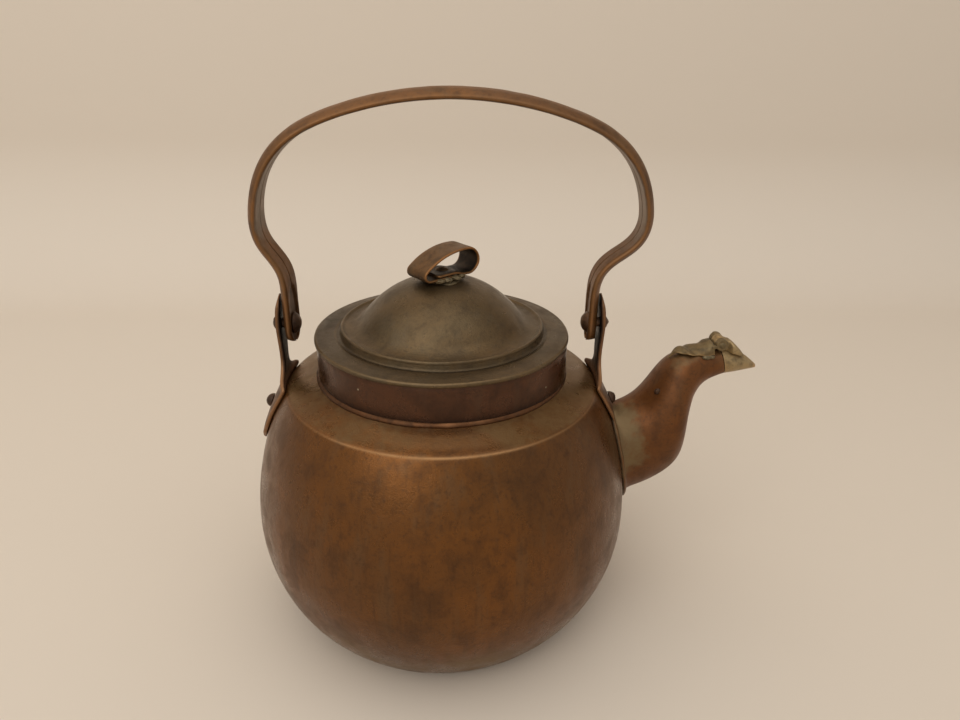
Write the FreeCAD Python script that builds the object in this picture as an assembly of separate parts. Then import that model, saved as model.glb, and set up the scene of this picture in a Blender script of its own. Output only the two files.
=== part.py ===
import FreeCAD, Part
import math
import os

V = FreeCAD.Vector
up = V(0, 0, 1)
across = V(0, 1, 0)

# Copper coffee kettle: +X points at the spout, +Z up, origin at the middle of the base

# Pot body: base, belly and shoulder of raised sheet, seamed edge to edge, measured on the outside
wall = 1.2
base_r = 50.6
base_round = 4.0
belly_r = 68.0
belly_z = 41.0
crease_r = 54.7
crease_z = 90.0
crease_round = 0.7
shoulder_rise = 4.4
neck_lip_h = 5.0
pour_hole_r = 9.0
pour_hole_z = 59.0
base_seam_z = 1.8
shoulder_seam_drop = 0.8

# Neck collar: a rolled strip with a lapped upright seam, brazed round the neck lip
collar_r = 43.0
collar_wall = 1.0
collar_h = 13.8
lap_t = 0.5
lap_deg = 9.0
lap_from_deg = -24.0
braze_w = 1.5
braze_h = 1.6
braze_bulge = 0.18

# Lid: a spun disc with a bell dome, a turned-down edge and a brazed-in flange
lid_t = 0.7
lid_edge_gap = 0.15
lid_edge_drop = 1.0
dome_r = 33.5
dome_h = 16.6
crown_sweep = 34.0
step_w = 2.2
step_h = 2.0
step_bulge_out = 0.75
step_bulge_down = 0.3
flange_gap = 0.5
flange_wall = 0.9
flange_drop = 6.8

# Lid loop: a flat strip bent round, both ends lapped on the crown
loop_w = 10.5
loop_t = 1.0
loop_turn_deg = 38.0
loop_front_r = 2.3
loop_back_r = 4.8
loop_span = 15.5
loop_arch_r = 26.0
loop_setback = 0.8
loop_tail = 9.0
loop_rivet_r = 1.2
loop_rivet_head_r = 2.4
loop_rivet_head_h = 1.0
loop_solder_r = 6.6
loop_solder_h = 0.5

# Bail: a folded tube of D section, bent in one plane
bail_w = 12.0
bail_t = 3.6
bail_wall = 0.9
bail_edge_r = 1.1
leg_inset = 3.1
leg_below_pivot = 6.4
pivot_z = 111.0
bend_low_z = 130.0
bend_high_z = 140.5
bend_low_r = 13.0
bend_high_r = 13.0
hoop_half = 64.2
hoop_lean = 4.0
hoop_spring_z = 148.9
hoop_side_r = 30.0
hoop_top_z = 186.1
pad_t = 2.8
pad_above_pivot = 7.0

# Ears: sheet straps that carry the bail
ear_t = 1.8
ear_run_gap = 0.4
ear_bow = 1.4
ear_tip_z = 121.5
tongue_w = 9.5
tongue_z = 112.0
waist_w = 6.6
waist_z = 98.0
wing_w = 26.0
wing_z = 91.6
foot_z = 66.0
strap_round = 16.0
tongue_round = 0.8
hollow_out = 0.3
hollow_up = 0.35
foot_bulge = 0.78

# Rivets
pivot_pin_r = 1.7
pivot_fit = 0.05
pivot_head_r = 3.8
pivot_head_h = 2.4
pivot_seat_gap = 0.1
pivot_peen_r = 2.7
pivot_peen_h = 0.8
ear_rivet_r = 1.4
ear_rivet_head_r = 2.4
ear_rivet_head_h = 2.2
ear_rivet_z = 79.8
rivet_bed = 0.3

# Spout: places are given outwards from the belly and up from the base
spout_wall = 1.0
root_low_z = 40.0
root_high_z = 75.5
root_sink = 7.0
heel_out = 20.6
heel_z = 58.0
shin_out = 22.2
shin_z = 76.0
chin_out = 26.4
chin_z = 87.6
mouth_low_out = 33.4
mouth_low_z = 91.2
throat_out = 3.6
throat_z = 82.8
nape_out = 15.2
nape_z = 97.8
mouth_high_out = 31.2
mouth_high_z = 100.8
root_width_share = 0.74
mouth_width_share = 0.98
spout_sections = 11
root_flange_w = 2.2
root_flange_t = 1.8
plug_r = 0.85
plug_proud = 0.35
plug_out = 8.6
plug_z = 86.0

# Spout flap: a hollow beak on a cross pin
flap_wall = 0.8
flap_gap = 0.3
beak_out = 45.6
beak_z = 93.8
beak_tip_r = 0.7
beak_brow = 1.2
beak_sections = 7
beak_hollow_share = 0.75
beak_tongue_share = 0.3
knuckle_r = 2.2
knuckle_lift = 0.4
knuckle_setback = 0.4
knuckle_half = 4.2
barrel_half = 1.9
side_gap = 0.2
turn_gap = 0.3
hinge_pin_r = 0.8
hinge_fit = 0.05
hinge_pin_proud = 0.5
hinge_head_r = 1.1
leaf_t = 0.8
leaf_w = 8.4
leaf_length = 16.5
leaf_taper = 8.0
leaf_depth = 3.0
leaf_solder_r = 1.2
leaf_solder_back = 5.0
leaf_solder_drop = 1.3

reach = 300.0
full_turn = 360.0


# Shared helpers

def at(x, z):
    return V(x, 0, z)


def line(a, b):
    return Part.LineSegment(a, b).toShape()


def arc(a, middle, b):
    return Part.Arc(a, middle, b).toShape()


def arc_about(centre, a, b):
    toward = (a - centre) + (b - centre)
    toward.normalize()
    return arc(a, centre + toward * a.distanceToPoint(centre), b)


def face_of(edges):
    return Part.Face(Part.Wire(edges))


def polygon(points):
    return [line(a, b) for a, b in zip(points, points[1:] + points[:1])]


def spin(edges):
    return face_of(edges).revolve(V(0, 0, 0), up, full_turn)


def rod(radius, start, along_axis, length):
    return Part.makeCylinder(radius, length, start, along_axis)


def dome_button(radius, height, start, along_axis):
    sphere_r = (radius ** 2 + height ** 2) / (2 * height)
    ball = Part.makeSphere(sphere_r, start + along_axis * (height - sphere_r))
    return ball.common(rod(radius, start, along_axis, 2 * sphere_r))


def ring_edges(shape, radius, z):
    near = 0.01
    found = []
    for edge in shape.Edges:
        if not isinstance(edge.Curve, Part.Circle):
            continue
        if abs(edge.Curve.Radius - radius) < near and abs(edge.Curve.Center.z - z) < near:
            found.append(edge)
    return found


def rounded_path(points, radii):
    edges = []
    start = points[0]
    for before, corner, after, radius in zip(points, points[1:], points[2:], radii):
        back = (before - corner).normalize()
        ahead = (after - corner).normalize()
        half = back.getAngle(ahead) / 2
        set_off = radius / math.tan(half)
        centre = corner + (back + ahead).normalize() * (radius / math.sin(half))
        edges.append(line(start, corner + back * set_off))
        edges.append(arc_about(centre, corner + back * set_off, corner + ahead * set_off))
        start = corner + ahead * set_off
    edges.append(line(start, points[-1]))
    return edges


def mirrored_x(shape):
    return shape.mirror(V(0, 0, 0), V(1, 0, 0))


# Belly outline: two arcs that meet upright at the widest ring

def sweep_radius(out, height):
    return (out ** 2 + height ** 2) / (2 * out)


low_sweep = sweep_radius(belly_r - base_r, belly_z)
high_sweep = sweep_radius(belly_r - crease_r, crease_z - belly_z)
low_centre = at(belly_r - low_sweep, belly_z)
high_centre = at(belly_r - high_sweep, belly_z)
shoulder_slope = shoulder_rise / (crease_r - collar_r)


def belly_at(z, off=0.0):
    centre = low_centre if z < belly_z else high_centre
    sweep = low_sweep if z < belly_z else high_sweep
    return centre.x + math.sqrt((sweep + off) ** 2 - (z - belly_z) ** 2)


def shoulder_at(r, off=0.0):
    return crease_z + (crease_r - r) * shoulder_slope + off * math.hypot(1, shoulder_slope)


def inner_crease():
    # where the inside of the shoulder meets the inside of the belly
    level = shoulder_at(0, -wall) - belly_z
    a = 1 + shoulder_slope ** 2
    b = -2 * (high_centre.x + shoulder_slope * level)
    c = high_centre.x ** 2 + level ** 2 - (high_sweep - wall) ** 2
    r = (math.sqrt(b * b - 4 * a * c) - b) / (2 * a)
    return at(r, shoulder_at(r, -wall))


neck_r = collar_r - collar_wall
collar_foot_z = shoulder_at(collar_r)
collar_top_z = collar_foot_z + collar_h
neck_lip_z = collar_foot_z + neck_lip_h


def make_pot_outer():
    base = at(base_r, 0)
    belly = at(belly_r, belly_z)
    crease = at(crease_r, crease_z)
    neck = at(neck_r, shoulder_at(neck_r))
    edges = [line(at(0, 0), base), arc_about(low_centre, base, belly)]
    edges += [arc_about(high_centre, belly, crease), line(crease, neck)]
    edges += [line(neck, at(0, neck.z)), line(at(0, neck.z), at(0, 0))]
    return spin(edges)


def make_pot_body(outer):
    lip_in = neck_r - wall
    base = at(belly_at(wall, -wall), wall)
    belly = at(belly_r - wall, belly_z)
    crease = inner_crease()
    neck = at(lip_in, shoulder_at(lip_in, -wall))
    top = at(lip_in, neck_lip_z)
    edges = [line(at(0, wall), base), arc_about(low_centre, base, belly)]
    edges += [arc_about(high_centre, belly, crease), line(crease, neck), line(neck, top)]
    edges += [line(top, at(0, top.z)), line(at(0, top.z), at(0, wall))]
    inside = spin(edges)
    lip = rod(neck_r, at(0, crease_z), up, neck_lip_z - crease_z)
    shell = outer.fuse(lip).removeSplitter().cut(inside)
    shell = shell.makeFillet(base_round, ring_edges(shell, base_r, 0))
    shell = shell.makeFillet(crease_round, ring_edges(shell, crease_r, crease_z))
    return shell.cut(rod(pour_hole_r, at(0, pour_hole_z), V(1, 0, 0), reach))


def slab(low_z, high_z):
    return Part.makeBox(2 * reach, 2 * reach, high_z - low_z, V(-reach, -reach, low_z))


# Neck collar and its braze line

def make_collar():
    foot_in = at(neck_r, shoulder_at(neck_r))
    foot_out = at(collar_r, collar_foot_z)
    top_out = at(collar_r, collar_top_z)
    band = spin(polygon([foot_in, foot_out, top_out, at(neck_r, collar_top_z)]))
    lap_foot = collar_foot_z + braze_h
    lap_top = collar_top_z - lid_edge_drop - lid_edge_gap
    corners = [at(collar_r, lap_foot), at(collar_r + lap_t, lap_foot)]
    corners += [at(collar_r + lap_t, lap_top), at(collar_r, lap_top)]
    lap = Part.Face(Part.Wire(polygon(corners))).revolve(V(0, 0, 0), up, lap_deg)
    lap.rotate(V(0, 0, 0), up, lap_from_deg)
    return band.fuse(lap).removeSplitter()


def make_braze():
    inside = at(collar_r, collar_foot_z)
    outside = at(collar_r + braze_w, shoulder_at(collar_r + braze_w))
    crown = at(collar_r, collar_foot_z + braze_h)
    bulge = (outside + crown) * 0.5 + at(braze_w, braze_h) * braze_bulge
    return spin([line(inside, outside), arc(outside, bulge, crown), line(crown, inside)])


# Lid

lid_seat_z = collar_top_z
ring_z = lid_seat_z + lid_t
lid_edge_r = collar_r + lid_edge_gap + lid_t
dome_foot_z = ring_z + step_h
crown_z = dome_foot_z + dome_h
flare_sweep = (dome_r ** 2 + dome_h ** 2) / (2 * dome_h) - crown_sweep
crown_centre = at(0, crown_z - crown_sweep)
flare_centre = at(dome_r, dome_foot_z + flare_sweep)


def bell(off):
    # crown arc and flare arc, both moved inwards by off, from the dome's foot to its top
    share = crown_sweep / (crown_sweep + flare_sweep)
    meet = crown_centre + (flare_centre - crown_centre) * share
    toward = (flare_centre - crown_centre).normalize()
    foot = at(dome_r, dome_foot_z - off)
    turn = meet - toward * off
    top = at(0, crown_z - off)
    crown_mid_r = turn.x / 2
    crown_mid_z = crown_centre.z + math.sqrt((crown_sweep - off) ** 2 - crown_mid_r ** 2)
    return [arc_about(flare_centre, foot, turn), arc(turn, at(crown_mid_r, crown_mid_z), top)]


def step_arc(inner, outer):
    bulge_r = inner.x + (outer.x - inner.x) * step_bulge_out
    bulge_z = inner.z - (inner.z - outer.z) * step_bulge_down
    return arc(inner, at(bulge_r, bulge_z), outer)


def make_lid_dome():
    edge_in = lid_edge_r - lid_t
    edge_low = lid_seat_z - lid_edge_drop
    foot = at(dome_r, dome_foot_z)
    foot_in = at(dome_r, dome_foot_z - lid_t)
    ring = at(dome_r + step_w, ring_z)
    ring_in = at(dome_r + step_w - lid_t, lid_seat_z)
    edge_top = at(edge_in, ring_z)
    edge_out = at(lid_edge_r, lid_seat_z)
    edges = [step_arc(foot, ring), line(ring, edge_top)]
    edges += [arc_about(at(edge_in, lid_seat_z), edge_top, edge_out)]
    edges += [line(edge_out, at(lid_edge_r, edge_low)), line(at(lid_edge_r, edge_low), at(edge_in, edge_low))]
    edges += [line(at(edge_in, edge_low), at(edge_in, lid_seat_z)), line(at(edge_in, lid_seat_z), ring_in)]
    edges += [step_arc(foot_in, ring_in), line(at(0, crown_z), at(0, crown_z - lid_t))]
    edges += bell(0.0) + bell(lid_t)
    outline = Part.Wire(Part.__sortEdges__(edges))
    return Part.Face(outline).revolve(V(0, 0, 0), up, full_turn)


def make_lid_flange():
    outside = neck_r - flange_gap
    low = lid_seat_z - flange_drop
    tube = rod(outside, at(0, low), up, flange_drop)
    return tube.cut(rod(outside - flange_wall, at(0, low), up, flange_drop))


# Lid loop: two end bends with one wide arch over them, worked out in its own upright plane

loop_seat_z = crown_z + loop_solder_h
loop_front = at(-loop_span / 2 - loop_setback, loop_seat_z + loop_front_r)
loop_back = at(loop_span / 2 - loop_setback, loop_seat_z + loop_back_r)


def arch_centre():
    # the point as far inside the arch from either end bend as the arch is wider than that bend
    apart = loop_back - loop_front
    from_front = loop_arch_r - loop_front_r
    from_back = loop_arch_r - loop_back_r
    gap = apart.Length
    step = (gap ** 2 + from_front ** 2 - from_back ** 2) / (2 * gap)
    drop = math.sqrt(from_front ** 2 - step ** 2)
    toward = V(apart).normalize()
    return loop_front + toward * step + at(toward.z, -toward.x) * drop


def loop_outline(off):
    centre = arch_centre()
    front_r = loop_front_r - off
    back_r = loop_back_r - off
    front_high = loop_front + (loop_front - centre).normalize() * front_r
    back_high = loop_back + (loop_back - centre).normalize() * back_r
    front_low = loop_front - up * front_r
    back_low = loop_back - up * back_r
    front_side = loop_front - at(front_r, 0)
    back_side = loop_back + at(back_r, 0)
    edges = [arc(front_low, front_side, front_high), arc_about(centre, front_high, back_high)]
    edges += [arc(back_high, back_side, back_low), line(back_low, front_low)]
    return edges


def loop_turned(shape):
    shape.rotate(V(0, 0, 0), up, loop_turn_deg)
    return shape


def strip(edges, width):
    shape = face_of(edges).extrude(across * width)
    shape.translate(across * (-width / 2))
    return shape


def make_lid_loop(rivet_hole):
    band = strip(loop_outline(0.0), loop_w).cut(strip(loop_outline(loop_t), loop_w))
    tail_low = loop_seat_z + loop_t
    tail = Part.makeBox(loop_tail, loop_w, loop_t, V(-loop_tail / 2, -loop_w / 2, tail_low))
    return loop_turned(band.fuse(tail).removeSplitter()).cut(rivet_hole)


def make_loop_rivet():
    head_z = loop_seat_z + 2 * loop_t
    tail_z = crown_z - lid_t
    shank = rod(loop_rivet_r, at(0, tail_z - rivet_bed), up, head_z - tail_z + 2 * rivet_bed)
    head = dome_button(loop_rivet_head_r, loop_rivet_head_h, at(0, head_z), up)
    peen = dome_button(loop_rivet_head_r, loop_rivet_head_h, at(0, tail_z + rivet_bed), up * -1)
    return shank, shank.fuse([head, peen]).removeSplitter()


def make_loop_solder(lid, shank):
    fall = crown_sweep - math.sqrt(crown_sweep ** 2 - loop_solder_r ** 2)
    puddle = rod(loop_solder_r, at(0, crown_z - fall), up, fall + loop_solder_h)
    return puddle.cut(lid).cut(shank)


# Bail

def d_section(width, thick, edge_r, x, z, outward):
    # flat towards the pot, bowed away from it, with rounded edges
    inside = x - outward * thick / 2
    outside = x + outward * thick / 2
    half = width / 2
    corner = inside + outward * edge_r
    quarter = edge_r * (1 - math.sqrt(0.5))

    def spot(px, py):
        return V(px, py, z)

    edges = [line(spot(inside, half - edge_r), spot(inside, edge_r - half))]
    edges += [arc(spot(inside, edge_r - half), spot(inside + outward * quarter, quarter - half), spot(corner, -half))]
    edges += [arc(spot(corner, -half), spot(outside, 0), spot(corner, half))]
    edges += [arc(spot(corner, half), spot(inside + outward * quarter, half - quarter), spot(inside, half - edge_r))]
    return Part.Wire(edges)


leg_x = crease_r - leg_inset
leg_end_z = pivot_z - leg_below_pivot
leg_outside = leg_x + bail_t / 2


def bail_path():
    side_left = hoop_lean - hoop_half
    side_right = hoop_lean + hoop_half
    rise = hoop_top_z - hoop_spring_z
    flat = hoop_half - hoop_side_r
    top_r = (rise ** 2 + flat ** 2 - hoop_side_r ** 2) / (2 * (rise - hoop_side_r))
    top_centre = at(hoop_lean, hoop_top_z - top_r)

    def limb(side):
        leg = math.copysign(leg_x, side)
        points = [at(leg, leg_end_z), at(leg, bend_low_z), at(side, bend_high_z), at(side, hoop_spring_z)]
        return rounded_path(points, [bend_low_r, bend_high_r])

    def haunch(side):
        centre = at(side - math.copysign(hoop_side_r, side), hoop_spring_z)
        meet = centre + (centre - top_centre).normalize() * hoop_side_r
        return arc_about(centre, at(side, hoop_spring_z), meet), meet

    left_arc, left_meet = haunch(side_left)
    right_arc, right_meet = haunch(side_right)
    edges = limb(side_left) + [left_arc, arc(left_meet, at(hoop_lean, hoop_top_z), right_meet), right_arc]
    edges += limb(side_right)
    return Part.Wire(Part.__sortEdges__(edges))


def bail_end(side):
    # the tube's end: filled, rounded off below and pressed thinner on the side towards the lid
    block = Part.Face(d_section(bail_w, bail_t, bail_edge_r, side * leg_x, leg_end_z, side))
    solid = block.extrude(up * (leg_below_pivot + pad_above_pivot))
    half = bail_w / 2
    low = V(0, -half, leg_end_z + half)
    high = V(0, -half, pivot_z + pad_above_pivot)
    toe = arc(low, V(0, 0, leg_end_z), V(0, half, low.z))
    rim = [toe, line(V(0, half, low.z), V(0, half, high.z)), line(V(0, half, high.z), high), line(high, low)]
    rounded = face_of(rim).extrude(V(2 * reach, 0, 0))
    rounded.translate(V(-reach, 0, 0))
    press = Part.makeBox(bail_t - pad_t, bail_w, leg_below_pivot + pad_above_pivot)
    press.translate(V(leg_x - bail_t / 2, -half, leg_end_z))
    return solid.common(rounded).cut(press if side > 0 else mirrored_x(press))


def make_bail():
    path = bail_path()
    outer = d_section(bail_w, bail_t, bail_edge_r, -leg_x, leg_end_z, -1)
    thin = 2 * bail_wall
    inner = d_section(bail_w - thin, bail_t - thin, bail_edge_r / 2, -leg_x, leg_end_z, -1)
    tube = path.makePipeShell([outer], True, False).cut(path.makePipeShell([inner], True, False))
    end_h = leg_below_pivot + pad_above_pivot
    bail = tube.cut(slab(leg_end_z, leg_end_z + end_h)).fuse([bail_end(1), bail_end(-1)]).removeSplitter()
    bore = rod(pivot_pin_r + pivot_fit, at(-reach, pivot_z), V(1, 0, 0), 2 * reach)
    return bail.cut(bore)


# Ears and their rivets, worked out on the spout side

ear_tip_x = leg_outside + ear_run_gap + ear_t / 2
ear_bow_x = ear_tip_x + ear_bow
strap_foot_x = crease_r + ear_t / 2


def ear_outline():
    tongue = tongue_w / 2
    waist = waist_w / 2
    wing = wing_w / 2
    shoulder_z = (ear_tip_z + tongue_z) / 2

    def half(side):
        tip = V(0, 0, ear_tip_z)
        tongue_at = V(0, side * tongue, tongue_z)
        waist_at = V(0, side * waist, waist_z)
        wing_at = V(0, side * wing, wing_z)
        foot_at = V(0, 0, foot_z)
        round_top = V(0, side * tongue * tongue_round, shoulder_z)
        hollow_y = waist + (wing - waist) * hollow_out
        hollow_z = wing_z + (waist_z - wing_z) * hollow_up
        hollow = V(0, side * hollow_y, hollow_z)
        bulge = V(0, side * wing * foot_bulge, (wing_z + foot_z) / 2)
        edges = [arc(tip, round_top, tongue_at), line(tongue_at, waist_at)]
        return edges + [arc(waist_at, hollow, wing_at), arc(wing_at, bulge, foot_at)]

    return Part.Wire(Part.__sortEdges__(half(1) + half(-1)))


def make_ear():
    low_z = foot_z - ear_t
    crease = at(crease_r, crease_z)
    low = at(belly_at(low_z), low_z)
    low_out = at(belly_at(low_z, ear_t), low_z)
    out_r = crease_r + ear_t
    out_z = belly_z + math.sqrt((high_sweep + ear_t) ** 2 - (out_r - high_centre.x) ** 2)
    top_z = waist_z + ear_t
    wrap = [arc_about(high_centre, low, crease), line(crease, at(crease_r, top_z))]
    wrap += [line(at(crease_r, top_z), at(out_r, top_z)), line(at(out_r, top_z), at(out_r, out_z))]
    wrap += [arc_about(high_centre, at(out_r, out_z), low_out), line(low_out, low)]
    points = [at(strap_foot_x, waist_z), at(strap_foot_x, waist_z + ear_t * 2)]
    points += [at(ear_bow_x, pivot_z), at(ear_tip_x, ear_tip_z + ear_t)]
    path = Part.Wire(rounded_path(points, [strap_round, strap_round]))
    half = tongue_w
    edge = [V(strap_foot_x - ear_t / 2, -half, waist_z), V(strap_foot_x + ear_t / 2, -half, waist_z)]
    edge += [V(strap_foot_x + ear_t / 2, half, waist_z), V(strap_foot_x - ear_t / 2, half, waist_z)]
    strap = path.makePipeShell([Part.Wire(polygon(edge))], True, False)
    prism = Part.Face(ear_outline()).extrude(V(reach, 0, 0))
    low_part = spin(wrap).common(prism)
    high_part = strap.common(prism)
    return low_part.fuse(high_part).removeSplitter()


def make_pivot_rivet():
    seat = leg_outside - pad_t - pivot_seat_gap
    tail = ear_bow_x - ear_t
    along_x = V(1, 0, 0)
    shank = rod(pivot_pin_r, at(seat, pivot_z), along_x, tail + 2 * ear_t - seat)
    head = dome_button(pivot_head_r, pivot_head_h, at(seat, pivot_z), along_x * -1)
    peen = dome_button(pivot_peen_r, pivot_peen_h + ear_t, at(tail + ear_t, pivot_z), along_x)
    return shank, head, peen


def ear_rivet_frame():
    spot = at(belly_at(ear_rivet_z), ear_rivet_z)
    return spot, (spot - high_centre).normalize()


def make_ear_rivet():
    spot, outward = ear_rivet_frame()
    inside = spot - outward * wall
    outside = spot + outward * ear_t
    shank = rod(ear_rivet_r, inside - outward * rivet_bed, outward, wall + ear_t + 2 * rivet_bed)
    head = dome_button(ear_rivet_head_r, ear_rivet_head_h + rivet_bed, outside - outward * rivet_bed, outward)
    peen = dome_button(ear_rivet_head_r, ear_rivet_head_h, inside + outward * rivet_bed, outward * -1)
    return shank, head, peen


# Spout: sections span from an under line to an over line

def guide(points):
    curve = Part.BSplineCurve()
    curve.interpolate(points)
    return curve


def along(curve, share):
    return curve.value(curve.FirstParameter + share * (curve.LastParameter - curve.FirstParameter))


def lofted(under, over, wide_start, wide_end, grow, count, end=1.0):
    wires = []
    for i in range(count):
        share = end * i / (count - 1)
        low = along(under, share)
        high = along(over, share)
        middle = (low + high) * 0.5
        tall = (high - low).Length / 2
        wide = tall * (wide_start + (wide_end - wide_start) * share)
        rise = (high - low).normalize()
        ellipse = Part.Ellipse(middle + rise * (tall + grow), middle + across * (wide + grow), middle)
        wires.append(Part.Wire(ellipse.toShape()))
    return Part.makeLoft(wires, True, False)


root_low = at(belly_at(root_low_z) - root_sink, root_low_z)
root_high = at(belly_at(root_high_z) - root_sink, root_high_z)
mouth_low = at(belly_r + mouth_low_out, mouth_low_z)
mouth_high = at(belly_r + mouth_high_out, mouth_high_z)
spout_heel = at(belly_r + heel_out, heel_z)
spout_shin = at(belly_r + shin_out, shin_z)
spout_chin = at(belly_r + chin_out, chin_z)
spout_throat = at(belly_r + throat_out, throat_z)
spout_nape = at(belly_r + nape_out, nape_z)
spout_under = guide([root_low, spout_heel, spout_shin, spout_chin, mouth_low])
spout_over = guide([root_high, spout_throat, spout_nape, mouth_high])


def spout_solid(grow):
    return lofted(spout_under, spout_over, root_width_share, mouth_width_share, grow, spout_sections)


def make_root_flange(spout, outer):
    ring = belly_band(root_low_z - 2 * root_flange_w - wall, root_flange_t)
    return ring.common(spout_solid(root_flange_w)).cut(spout).cut(outer)


def belly_band(low_z, thick):
    # a skin of the given thickness on the outside of the belly, up to the crease
    low = at(belly_at(low_z), low_z)
    low_out = at(belly_at(low_z, thick), low_z)
    belly = at(belly_r, belly_z)
    belly_out = at(belly_r + thick, belly_z)
    crease = at(crease_r, crease_z)
    lean = (crease - high_centre).normalize()
    edges = [arc_about(low_centre, low, belly), arc_about(high_centre, belly, crease)]
    edges += [line(crease, crease + lean * thick), arc_about(high_centre, crease + lean * thick, belly_out)]
    edges += [arc_about(low_centre, belly_out, low_out), line(low_out, low)]
    return spin(edges)


# Hinge of the spout flap

mouth_rise = (mouth_high - mouth_low).normalize()
mouth_out = at(mouth_rise.z, -mouth_rise.x)
hinge = at(mouth_high.x - knuckle_setback, mouth_high.z + knuckle_r + knuckle_lift)


def barrel(radius, low_y, high_y):
    return rod(radius, hinge + across * low_y, across, high_y - low_y)


def both_sides(make):
    return [make(1), make(-1)]


def make_leaf(spout, spout_skin):
    tail_x = hinge.x - leaf_length
    wide_x = tail_x + leaf_taper
    half = leaf_w / 2
    low_z = nape_z - leaf_depth
    plan = [V(tail_x, 0, low_z), V(wide_x, -half, low_z), V(hinge.x, -half, low_z)]
    plan += [V(hinge.x, half, low_z), V(wide_x, half, low_z)]
    top = face_of(polygon(plan)).extrude(up * (hinge.z - low_z))
    plate = spout_skin.common(top)
    inner_y = barrel_half + side_gap

    def knuckle(side):
        low_y = min(side * inner_y, side * knuckle_half)
        high_y = max(side * inner_y, side * knuckle_half)
        curl = barrel(knuckle_r, low_y, high_y)
        web_h = 2 * knuckle_r + knuckle_lift + leaf_t
        web = Part.makeBox(knuckle_r, high_y - low_y, web_h, hinge + V(-knuckle_r, low_y, -web_h))
        return curl.fuse(web).cut(spout).cut(barrel(hinge_pin_r, -reach, reach))

    leaf = plate.cut(barrel(knuckle_r + turn_gap, -inner_y, inner_y))
    for side in (1, -1):
        leaf = leaf.fuse(knuckle(side))
    return leaf


def make_hinge_pin():
    half = knuckle_half
    shank = barrel(hinge_pin_r, -half, half)

    def button(side):
        return dome_button(hinge_head_r, hinge_pin_proud, hinge + across * (side * half), across * side)

    return shank.fuse(both_sides(button)).removeSplitter()


def make_leaf_solder(spout, leaf):
    x = hinge.x - leaf_solder_back

    def lump(side):
        spot = V(x, side * leaf_w / 2, mouth_high.z - leaf_solder_drop)
        return Part.makeSphere(leaf_solder_r, spot)

    lumps = Part.makeCompound(both_sides(lump))
    return lumps.cut(spout).cut(leaf)


def make_flap():
    low = mouth_low + mouth_out * flap_gap
    high = mouth_high + mouth_out * flap_gap
    tip = at(belly_r + beak_out, beak_z)
    tip_low = tip - up * beak_tip_r
    tip_high = tip + up * beak_tip_r
    under = guide([low, (low + tip_low) * 0.5, tip_low])
    over = guide([high, (high + tip_high) * 0.5 + at(beak_brow, beak_brow), tip_high])
    share = mouth_width_share
    shell = lofted(under, over, share, share, 0.0, beak_sections)
    hollow = lofted(under, over, share, share, -flap_wall, beak_sections, beak_hollow_share)
    hood = shell.cut(hollow).cut(barrel(knuckle_r + turn_gap, -reach, reach))
    roof = along(over, beak_tongue_share)
    tongue = [hinge - up * knuckle_r, hinge + at(knuckle_r, 0), roof + up * (flap_wall / 4), roof - up * flap_wall]
    tongue = strip(polygon(tongue), 2 * barrel_half)
    body = hood.fuse([tongue, barrel(knuckle_r, -barrel_half, barrel_half)])
    return body.removeSplitter().cut(barrel(hinge_pin_r + hinge_fit, -reach, reach))


# Assembly

nodes = {}
pot_outer = make_pot_outer()
pot_body = make_pot_body(pot_outer)
spout = spout_solid(0.0)
spout_bore = spout_solid(-spout_wall)
spout_skin = spout_solid(leaf_t).cut(spout)

plug_start = at(belly_r + plug_out, plug_z)
plug_core = rod(plug_r, plug_start, across * -1, reach)
plug = plug_core.common(spout_solid(plug_proud)).cut(spout_bore)

nodes["neck_collar"] = make_collar()
nodes["collar_braze"] = make_braze()
nodes["spout_plug"] = plug
nodes["flap_hinge_leaf"] = make_leaf(spout, spout_skin)
nodes["flap_hinge_pin"] = make_hinge_pin()
nodes["flap_hinge_solder"] = make_leaf_solder(spout, nodes["flap_hinge_leaf"])
nodes["spout_flap"] = make_flap()

ear = make_ear()
pivot_shank, pivot_head, pivot_peen = make_pivot_rivet()
rivet_shank, rivet_head, rivet_peen = make_ear_rivet()
ear = ear.cut(pivot_shank).cut(rivet_shank)
pivot_rivet = pivot_shank.fuse([pivot_head, pivot_peen.cut(ear)]).removeSplitter()
ear_rivet = rivet_shank.fuse([rivet_head, rivet_peen]).removeSplitter().cut(ear)
root_flange = make_root_flange(spout, pot_outer).cut(ear_rivet)
nodes["spout_root_flange"] = root_flange
nodes["spout_tube"] = spout.cut(spout_bore).cut(pot_outer).cut(plug).cut(ear_rivet)
nodes["ear_front"] = ear.cut(spout).cut(root_flange)
nodes["ear_rear"] = mirrored_x(ear)
nodes["pivot_rivet_front"] = pivot_rivet
nodes["pivot_rivet_rear"] = mirrored_x(pivot_rivet)
pot_body = pot_body.cut(rivet_shank).cut(mirrored_x(rivet_shank))
nodes["ear_rivet_rear"] = mirrored_x(ear_rivet).cut(pot_body)
nodes["ear_rivet_front"] = mirrored_x(nodes["ear_rivet_rear"])
shoulder_seam_z = crease_z - shoulder_seam_drop
nodes["pot_base"] = pot_body.common(slab(0, base_seam_z))
nodes["pot_belly"] = pot_body.common(slab(base_seam_z, shoulder_seam_z))
nodes["pot_shoulder"] = pot_body.common(slab(shoulder_seam_z, reach))

lid = make_lid_dome()
loop_shank, loop_rivet = make_loop_rivet()
nodes["lid_dome"] = lid.cut(loop_shank)
nodes["lid_flange"] = make_lid_flange()
nodes["lid_loop"] = make_lid_loop(loop_shank)
nodes["lid_loop_rivet"] = loop_rivet.cut(nodes["lid_dome"])
nodes["lid_loop_solder"] = make_loop_solder(lid, loop_shank)
nodes["bail"] = make_bail()

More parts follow.
